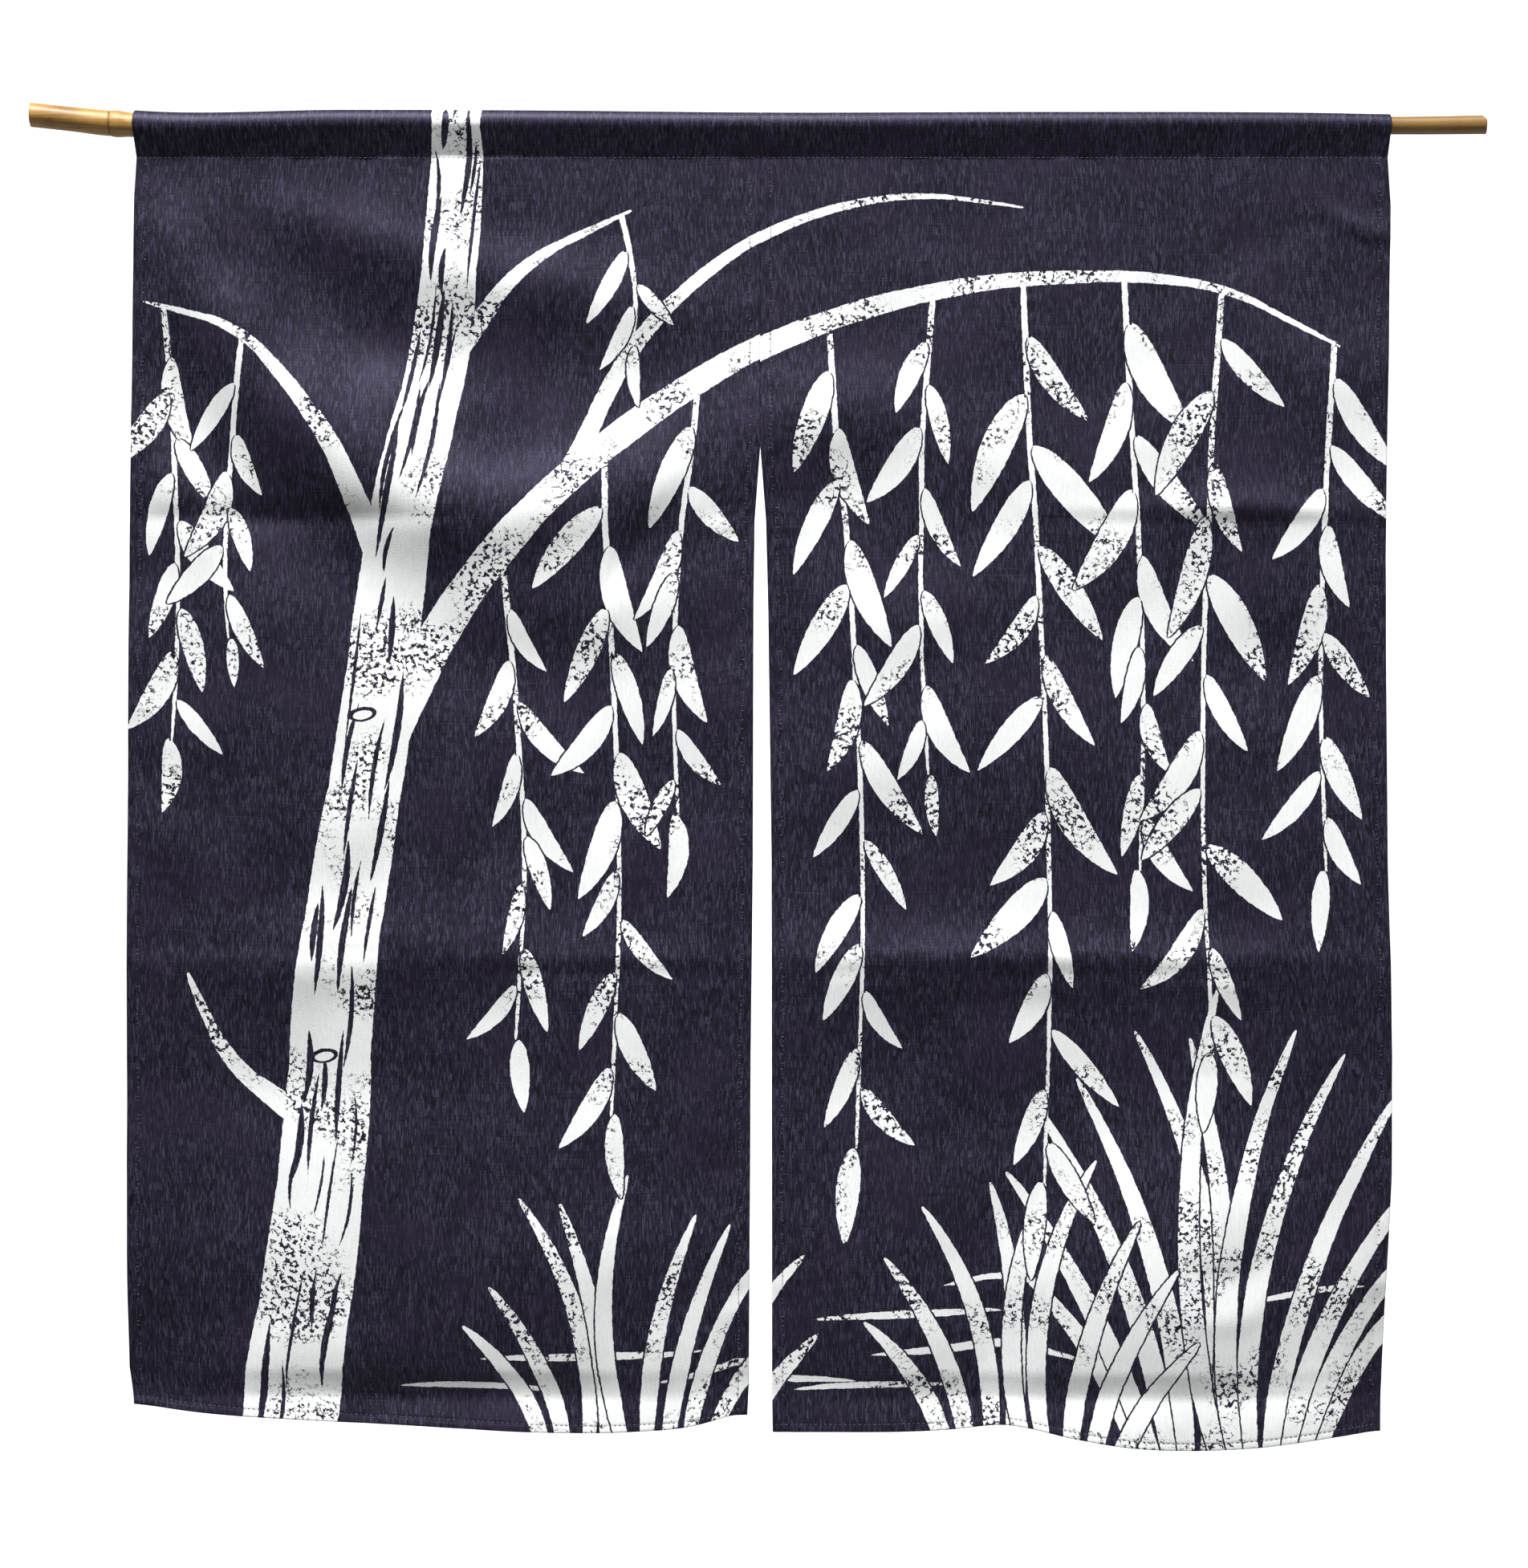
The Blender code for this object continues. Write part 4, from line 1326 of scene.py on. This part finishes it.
        # The walls pucker a little between the cane and the stitching
        drawn = ripple(waves(self.seed + 3, *SLEEVE_WAVES), x, np.zeros_like(x))
        slack = np.concatenate([np.zeros_like(tail), np.sin(math.pi * climb), np.zeros_like(psi[:, :1]),
                                np.sin(math.pi * fall)])
        section = section + outward * (slack * drawn)[..., None]
        girth = radius * (psi_front - psi_back)
        cloth_z = STITCH_Z + np.concatenate([
            long_front + girth + long_back + tail, long_front + girth + (1 - climb) * long_back,
            long_front + radius * (psi_front - psi), (1 - fall) * long_front])
        level = np.zeros(section.shape[:2] + (1,))
        points = np.concatenate([np.broadcast_to(x[:, None], level.shape), section], axis=-1)
        return points, np.concatenate([level, outward], axis=-1), cloth_z

    def columns(self) -> Columns:
        """Columns from one raw side, round its hem, across the front and round the other.

        Past the fold a column lies as far inwards as it lies beyond the fold along the cloth.
        On the fold it stands out by bend * sin(turn) and back by bend * (1 - cos(turn)).
        """
        weave = self.weave
        round_fold = math.pi * weave.bend
        arc = np.concatenate([np.array([1.0, 0.83, 0.63, 0.42, 0.25]) * weave.side_hem,
                              np.array([1.0, 0.75, 0.5, 0.25]) * round_fold])
        turn = np.minimum(arc / weave.bend, math.pi)
        inwards = np.where(arc > round_fold, arc - round_fold, -weave.bend * np.sin(turn))
        near = np.array([0.0, 0.8, 2.0, 3.5, 5.0, 6.2, 7.0, 7.8, 9.0, 11.0, 14.0, 18.0]) * MM
        offset = weave.bend + np.concatenate([inwards, near])
        turn = np.concatenate([turn, np.zeros_like(near)])
        stack = np.concatenate([np.ones_like(arc), 1 - smooth_step(near, 9 * MM, 15 * MM)])
        cloth = weave.bend + np.concatenate([-arc, near])
        first = float(self.edge_x(self.first_edge, STITCH_Z))
        last = float(self.edge_x(self.last_edge, STITCH_Z))
        count = round((last - first) / COLUMN_PITCH) - EDGE_COLUMNS
        middle = np.linspace(first + offset[-1], last - offset[-1], count + 2)[1:-1]
        level = np.zeros_like(middle)
        both = [np.zeros_like(offset), (middle - first) / (last - first), np.ones_like(offset)]
        tuck = weave.bend * (1 - np.cos(turn))
        return Columns(
            share=np.concatenate(both),
            offset=np.concatenate([offset, level, -offset[::-1]]),
            turn=np.concatenate([turn, level, turn[::-1]]),
            tuck=np.concatenate([tuck, level, tuck[::-1]]),
            side=np.concatenate([-np.ones_like(offset), level, np.ones_like(offset)]),
            stack=np.concatenate([stack, level, stack[::-1]]),
            cloth_x=np.concatenate([first + cloth, middle, last - cloth[::-1]]),
        )

    def strip(self) -> Strip:
        """Lay the cloth out over the cane, down the front and round its hems.

        A point is surface - normal * tuck, where the surface is the outer layer. Round the
        lower hem by phi the tuck is bend - (bend - own tuck) cos(phi), and the point goes
        down by (bend - own tuck) sin(phi). The cloth's own normal turns with the folds:
        cos(turn) * (cos(phi) normal + sin(phi) down) + sin(turn) * outwards.

        Returns:
            The strip.
        """
        weave = self.weave
        cols = self.columns()
        sleeve, sleeve_out, sleeve_cloth = self.sleeve(self.across(cols.share, 0.0) + cols.offset, cols.stack)
        sleeve[..., 0] = self.across(cols.share, np.maximum(sleeve[..., 2], STITCH_Z)) + cols.offset
        bend = weave.middle_bend + (weave.corner_bend - weave.middle_bend) * cols.stack
        fold_z = self.hem_z(cols.cloth_x) + bend + weave.thickness / 2
        near_top = np.array([0.7, 1.5, 2.6, 4.2, 6.5, 9.5, 13.0]) * MM
        rise = np.array([14.0, 11.5, 9.5, 8.0, 6.8, 5.9, 5.3, 4.7, 4.1, 3.2, 2.1, 1.0, 0.0]) * MM
        share = np.linspace(near_top[-1] / weave.drop, 1 - rise[0] / weave.drop, FRONT_ROWS)[1:-1]
        phi = np.linspace(0.0, math.pi, HEM_ROWS)[1:]
        behind = np.array([0.2, 0.4, 0.6, 0.8, 1.0]) * weave.hem_depth
        z = np.concatenate([
            STITCH_Z - near_top[:, None] * np.ones_like(fold_z),
            STITCH_Z + share[:, None] * (fold_z - STITCH_Z),
            fold_z + rise[:, None],
            np.repeat(fold_z[None, :], len(phi), axis=0),
            fold_z + behind[:, None],
        ])
        flat = len(near_top) + len(share) + len(rise)
        turned = np.concatenate([np.zeros(flat), phi, np.full(len(behind), math.pi)])[:, None]
        cloth_z = STITCH_Z - np.concatenate([
            near_top, share * weave.drop, weave.drop - rise, weave.drop + phi * weave.middle_bend,
            weave.drop + math.pi * weave.middle_bend + behind])[:, None]
        points, normals, down = self.sheet(self.across(cols.share, z) + cols.offset, z)
        tuck = bend - (bend - cols.tuck) * np.cos(turned)
        tuck[:flat] = cols.tuck
        sink = (bend - cols.tuck) * np.sin(turned)
        points = points - normals * tuck[..., None] + down * sink[..., None]
        facing = normals * np.cos(turned)[..., None] + down * np.sin(turned)[..., None]
        points = np.concatenate([sleeve - sleeve_out * cols.tuck[None, :, None], points])
        facing = np.concatenate([sleeve_out, facing])
        sideways = np.zeros_like(facing)
        sideways[..., 0] = cols.side
        facing = facing * np.cos(cols.turn)[None, :, None] + sideways * np.sin(cols.turn)[None, :, None]
        return Strip(points, unit(facing), np.broadcast_to(cols.cloth_x, facing.shape[:2]),
                     np.concatenate([sleeve_cloth, np.broadcast_to(cloth_z, z.shape)]))

    def build(self, design: WillowPrint,
              faces_of: tuple[bpy.types.Material, bpy.types.Material]) -> bpy.types.Object:
        """Make the panel as a closed sheet of real thickness and put it in its CAD node's stead.

        Args:
            design: The print.
            faces_of: Materials of the printed face and of the reverse.

        Returns:
            The object.
        """
        strip = self.strip()
        half = strip.normals * self.weave.thickness / 2
        points = np.concatenate([(strip.points + half).reshape(-1, 3), (strip.points - half).reshape(-1, 3)])
        rows, cols = strip.points.shape[:2]
        front = np.arange(rows * cols).reshape(rows, cols)
        back = front + rows * cols
        front_quads = grid_quads(front)
        back_quads = grid_quads(back)[:, ::-1]
        loop = np.concatenate([front[:-1, 0], front[-1, :-1], front[:0:-1, -1], front[0, :0:-1]])
        following = np.roll(loop, -1)
        rim = np.stack([loop, loop + rows * cols, following + rows * cols, following], axis=-1)
        quads = np.concatenate([front_quads, back_quads, rim])
        item = new_piece(self.name, points, quads.tolist(), list(faces_of))
        slots = np.zeros(len(quads), np.int32)
        slots[len(front_quads):] = 1
        item.data.polygons.foreach_set("material_index", slots)
        u = np.tile(strip.cloth_x.reshape(-1), 2)[quads]
        v = np.tile(strip.cloth_z.reshape(-1), 2)[quads]
        places = np.stack([u, v], -1).astype(np.float32)
        item.data.uv_layers.new(name="cloth").uv.foreach_set("vector", places.ravel())
        printed = design.layers(u[:len(front_quads)], v[:len(front_quads)])
        blank = np.empty((LAYERS, len(rim), 4, 4), np.float32)
        blank[:] = NO_STROKE
        for i, layer in enumerate(np.concatenate([printed, printed[:, :, ::-1], blank], axis=1)):
            item.data.color_attributes.new(f"stroke_{i}", "FLOAT_COLOR", "CORNER").data.foreach_set(
                "color", layer.ravel())
        item.data.set_sharp_from_angle(angle=math.radians(60))
        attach(item, BODY)
        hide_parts(self.node)
        return item


SEAM_LEFT, SEAM_RIGHT = SEAM_X - SEAM_GAP / 2, SEAM_X + SEAM_GAP / 2

LEFT_PANEL = Panel(
    name="cloth_left",
    node="panel_left",
    first_edge=((0.0120, -0.4200), (0.0000, -0.4208), (-0.0220, -0.4190), (-0.0470, -0.4205),
                (-0.2930, -0.4240), (-0.5920, -0.4258), (-0.8390, -0.4252), (-0.8700, -0.4215)),
    last_edge=((0.0120, SEAM_LEFT), (SLIT_TOP_Z, SEAM_LEFT), (-0.2670, -0.0024), (-0.3270, -0.0032),
               (-0.4970, -0.0036), (-0.6190, -0.0050), (-0.8500, -0.0064), (-0.8800, -0.0078)),
    hem=((-0.4220, -0.8638), (-0.3610, -0.8702), (-0.2480, -0.8768), (-0.0780, -0.8815), (-0.0410, -0.8790),
         (-0.0084, -0.8712)),
    folds=LEFT_FOLDS,
    seed=31,
)
RIGHT_PANEL = Panel(
    name="cloth_right",
    node="panel_right",
    first_edge=((0.0120, SEAM_RIGHT), (SLIT_TOP_Z, SEAM_RIGHT), (-0.2670, 0.0057), (-0.3270, 0.0072),
                (-0.4970, 0.0095), (-0.6190, 0.0096), (-0.8500, 0.0098), (-0.8850, 0.0102)),
    last_edge=((0.0120, 0.4262), (0.0000, 0.4264), (-0.0220, 0.4246), (-0.0540, 0.4268), (-0.2930, 0.4232),
               (-0.5000, 0.4248), (-0.6300, 0.4280), (-0.7100, 0.4274), (-0.7900, 0.4236), (-0.8850, 0.4206)),
    hem=((0.0100, -0.8820), (0.1290, -0.8803), (0.1600, -0.8778), (0.2140, -0.8872), (0.2480, -0.8922),
         (0.3360, -0.8924), (0.3920, -0.8858), (0.4220, -0.8822)),
    folds=RIGHT_FOLDS,
    seed=47,
)


# The sewing


@dataclass(frozen=True)
class SewingThread:
    """Cotton: spun sewing thread, mercerised and dyed to match. A shade paler than the cloth,
    with the twist of its plies as fine slanting lines."""

    colour: str = "6C687C"
    shade: str = "3C3948"
    roughness: float = 0.6
    ior: float = 1.53
    # The twist repeats every 0.6 mm
    twist: float = 0.6 * MM

    def material(self) -> bpy.types.Material:
        """Build the material.

        Returns:
            The material, which reads Object coordinates.
        """
        material, tree, shader = new_material("cotton_sewing_thread", {
            "Roughness": self.roughness, "IOR": self.ior, "Sheen Weight": 0.15})
        place = add_node(tree, "ShaderNodeTexCoord").outputs["Object"]
        turned = add_node(tree, MAPPING, {"Vector": place, "Rotation": (0.0, math.radians(40), 0.0)})
        plies = add_node(tree, "ShaderNodeTexWave", {"Vector": turned, "Scale": 1 / (20 * self.twist)})
        colour = add_node(tree, MIX, {"Factor": plies.outputs["Fac"], "A": linear(self.shade),
                                      "B": linear(self.colour)}, data_type="RGBA")
        tree.links.new(colour.outputs["Result"], shader.inputs["Base Color"])
        return material


@dataclass(frozen=True)
class Seams:
    """The stitching of one panel: sleeve, side hems and lower hem, in front and behind."""

    radius: float = 0.20 * MM
    pitch: float = 3.3 * MM
    length: float = 2.5 * MM
    catch_pitch: float = 3.1 * MM
    catch_length: float = 2.1 * MM
    catch_kept: float = 0.62
    catch_lowest: float = -0.858
    end_room: float = 2.5 * MM
    # Near a side hem the cloth is doubled, and the second layer fades out between these
    stack_fade: Pair = (7 * MM, 13 * MM)

    def threads(self, points: Array, along: Array, outward: Array, length: float) -> tuple[Array, Array]:
        """Short threads that come up out of the cloth and go down again.

        Each is a four-sided tube of four rings. Its centre line at t from -1 to 1 is
        point + along * t * length / 2 + outward * (0.12 - 0.45 t^4) mm.

        Args:
            points: Middle of each thread, on the cloth.
            along: Unit vectors along each.
            outward: Unit normals of the cloth.
            length: Length of a thread.

        Returns:
            Vertices and quads.
        """
        across = unit(np.cross(outward, along))
        t = np.array([-1.0, -0.45, 0.45, 1.0])
        lift = (0.12 - 0.45 * t**4) * MM
        angle = np.arange(4) * math.pi / 2 + math.pi / 4
        centre = points[:, None] + along[:, None] * (t * length / 2)[:, None]
        centre = centre + outward[:, None] * lift[:, None]
        ring = across[:, None, None] * np.cos(angle)[:, None]
        ring = ring + outward[:, None, None] * np.sin(angle)[:, None]
        tube = centre[:, :, None] + ring * self.radius
        numbers = np.arange(4 * 4).reshape(4, 4)
        wrapped = np.concatenate([numbers, numbers[:, :1]], axis=1)
        quads = np.concatenate([grid_quads(wrapped), numbers[:1], numbers[3:, ::-1]])
        shifts = np.arange(len(points))[:, None, None] * 16
        return tube.reshape(-1, 3), (quads[None] + shifts).reshape(-1, 4)

    def build(self, panel: Panel, thread: bpy.types.Material) -> bpy.types.Object:
        """Sew one panel.

        Args:
            panel: The panel.
            thread: Material of the thread.

        Returns:
            One object with all of the panel's stitches.
        """
        draw = np.random.default_rng(panel.seed + 5)
        weave = panel.weave
        lift = weave.thickness / 2
        vertices, quads = [], []

        def sew(points: Array, along: Array, outward: Array, length: float) -> None:
            """Add a row of threads."""
            made, faces = self.threads(points, along, outward, length)
            quads.append(faces + sum(len(v) for v in vertices))
            vertices.append(made)

        for edge, inwards in ((panel.first_edge, 1.0), (panel.last_edge, -1.0)):
            z = np.arange(STITCH_Z - 4 * MM, self.catch_lowest, -self.catch_pitch)
            z = z + draw.uniform(-0.5, 0.5, len(z)) * MM
            z = z[draw.random(len(z)) < self.catch_kept]
            x = panel.edge_x(edge, z) + inwards * (weave.side_stitch + draw.normal(0.0, 0.5, len(z)) * MM)
            points, outward, _ = panel.sheet(x, z)
            along = unit(np.stack([np.ones_like(x), 0 * x, draw.normal(0.0, 0.12, len(x))], axis=-1))
            along = unit(along - outward * (along * outward).sum(-1, keepdims=True))
            sew(points + outward * lift, along, outward, self.catch_length)
            sew(points - outward * (weave.layer + lift), along, -outward, self.catch_length)
        first = float(panel.edge_x(panel.first_edge, panel.hem[0][1])) + self.end_room
        last = float(panel.edge_x(panel.last_edge, panel.hem[-1][1])) - self.end_room
        x = np.arange(first, last, self.pitch)
        z = panel.hem_z(x) + weave.hem_stitch + 0.4 * MM
        points, outward, down = panel.sheet(x, z)
        ahead, _, _ = panel.sheet(x + 1 * MM, panel.hem_z(x + 1 * MM) + weave.hem_stitch + 0.4 * MM)
        stack = 1 - smooth_step(np.minimum(x - first, last - x), *self.stack_fade)
        behind = 2 * (weave.middle_bend + (weave.corner_bend - weave.middle_bend) * stack)
        sew(points + outward * lift, unit(ahead - points), outward, self.length)
        sew(points - outward * (behind + lift)[:, None], unit(ahead - points), -outward, self.length)
        first = float(panel.edge_x(panel.first_edge, STITCH_Z)) + self.end_room
        last = float(panel.edge_x(panel.last_edge, STITCH_Z)) - self.end_room
        x = np.arange(first, last, self.pitch)
        level = np.zeros_like(x)
        along = np.stack([np.ones_like(x), level, level], axis=-1)
        forward = unit(np.stack([level, level - 1.0, level - 0.22], axis=-1))
        line = np.stack([x, level - weave.front_offset, level + STITCH_Z], axis=-1)
        stack = 1 - smooth_step(np.minimum(x - first, last - x), *self.stack_fade)
        rear = np.stack([x, 2 * weave.front_offset + 2 * weave.layer * stack, level + STITCH_Z], axis=-1)
        sew(line + forward * lift, along, forward, self.length)
        sew(rear - forward * lift, along, -forward, self.length)
        item = new_piece(panel.name.replace("cloth", "stitches"), np.concatenate(vertices),
                         np.concatenate(quads).tolist(), [thread])
        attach(item, BODY)
        return item


# The studio


@dataclass(frozen=True)
class StudioPaint:
    """Paint: matt pale grey emulsion, rolled, with a trace of mottle."""

    pale: str = "D9D9DA"
    shade: str = "D4D4D5"
    roughness: float = 0.95

    def material(self) -> bpy.types.Material:
        """Build the material.

        Returns:
            The material, which reads Object coordinates.
        """
        material, tree, shader = new_material("matt_pale_paint", {"Roughness": self.roughness,
                                                                   "Specular IOR Level": 0.1})
        place = add_node(tree, "ShaderNodeTexCoord").outputs["Object"]
        mottle = add_node(tree, NOISE, {"Vector": place, "Scale": 1.5, "Detail": 2.0})
        colour = add_node(tree, MIX, {"Factor": mottle.outputs["Fac"], "A": linear(self.pale),
                                      "B": linear(self.shade)}, data_type="RGBA")
        tree.links.new(colour.outputs["Result"], shader.inputs["Base Color"])
        return material


@dataclass(frozen=True)
class Lamp:
    """A soft box: its place, the point it faces, its side, its power and its grid's opening."""

    name: str
    place: tuple[float, float, float]
    faces: tuple[float, float, float]
    side: float
    watts: float
    opening: float


@dataclass(frozen=True)
class Studio:
    """A round pale room with a coved floor, soft boxes, and the camera in front."""

    floor_z: float = -2.30
    room_radius: float = 7.4
    cove_radius: float = 1.6
    wall_top: float = 6.4
    sides: int = 96
    ambient: float = 0.03
    camera_x: float = 0.0041
    camera_y: float = -2.498
    camera_z: float = -0.4445
    focal_length: float = 85.0
    lamps: tuple[Lamp, ...] = (
        Lamp("key", (-0.7, -2.1, 4.3), (0.05, 0.0, -0.58), 1.5, 60.0, 50.0),
        Lamp("fill", (2.6, -2.6, 0.2), (0.0, 0.0, -0.45), 2.0, 1.5, 80.0),
        Lamp("backdrop", (0.0, 2.2, 3.0), (0.0, 7.4, -0.9), 2.4, 262.0, 100.0),
    )

    def camera(self) -> bpy.types.Object:
        """Camera level with the middle of the cloth, square to it."""
        data = bpy.data.cameras.new("camera")
        data.lens = self.focal_length
        item = bpy.data.objects.new("camera", data)
        item.location = (self.camera_x, self.camera_y, self.camera_z)
        item.rotation_euler = (math.pi / 2, 0.0, 0.0)
        bpy.context.scene.collection.objects.link(item)
        bpy.context.scene.camera = item
        return item

    def room(self, paint: bpy.types.Material) -> bpy.types.Object:
        """Floor, cove and wall: a profile turned once round the upright axis.

        Args:
            paint: Material of the room.

        Returns:
            The object.
        """
        cove = np.linspace(-math.pi / 2, 0.0, 13)
        inner = self.room_radius - self.cove_radius
        radius = np.concatenate([np.linspace(0.05, inner, 12)[:-1], inner + self.cove_radius * np.cos(cove),
                                 [self.room_radius]])
        height = np.concatenate([np.full(11, self.floor_z),
                                 self.floor_z + self.cove_radius * (1 + np.sin(cove)), [self.wall_top]])
        turn = np.arange(self.sides) * 2 * math.pi / self.sides
        points = np.stack([radius[:, None] * np.cos(turn), radius[:, None] * np.sin(turn),
                           np.broadcast_to(height[:, None], (len(height), self.sides))], axis=-1)
        numbers = np.arange(len(height) * self.sides).reshape(-1, self.sides)
        quads = grid_quads(np.concatenate([numbers, numbers[:, :1]], axis=1))
        item = new_piece("studio_room", points, quads.tolist() + [numbers[0].tolist()], [paint])
        return item

    def light(self) -> None:
        """Hang the soft boxes and set the room's ambient light and the plain view transform."""
        for lamp in self.lamps:
            data = bpy.data.lights.new(lamp.name, "AREA")
            data.size = lamp.side
            data.energy = lamp.watts
            data.spread = math.radians(lamp.opening)
            item = bpy.data.objects.new(lamp.name, data)
            item.location = lamp.place
            item.visible_camera = False
            aim = np.array(lamp.faces) - np.array(lamp.place)
            tilt = math.atan2(math.hypot(aim[0], aim[1]), -aim[2])
            item.rotation_euler = (tilt, 0.0, math.atan2(-aim[0], aim[1]))
            bpy.context.scene.collection.objects.link(item)
        world = bpy.data.worlds.new("studio_air")
        world.use_nodes = True
        air = world.node_tree.nodes["Background"]
        air.inputs["Color"].default_value = linear("FFFFFF")
        air.inputs["Strength"].default_value = self.ambient
        bpy.context.scene.world = world
        bpy.context.scene.view_settings.view_transform = "Standard"


def main() -> None:
    """Build the studio, the cane, the panels and their stitching."""
    logging.basicConfig(level=logging.INFO, format="%(name)s: %(message)s")
    studio = Studio()
    studio.camera()
    studio.room(StudioPaint().material())
    studio.light()
    LOG.info("studio ready")
    cane = Cane().build(CaneSkin().material(), CaneCutEnd().material())
    LOG.info("%s: %d faces", cane.name, len(cane.data.polygons))
    cotton = PrintedCotton()
    group = cotton.stroke_group()
    faces_of = (cotton.dress("indigo_slub_cotton_printed", 1.0, group),
                cotton.dress("indigo_slub_cotton_reverse", cotton.show_through, group))
    thread = SewingThread().material()
    for panel in (LEFT_PANEL, RIGHT_PANEL):
        cloth = panel.build(WillowPrint(), faces_of)
        stitches = Seams().build(panel, thread)
        LOG.info("%s: %d faces, %s: %d faces", cloth.name, len(cloth.data.polygons), stitches.name,
                 len(stitches.data.polygons))


if __name__ == "__main__":
    main()
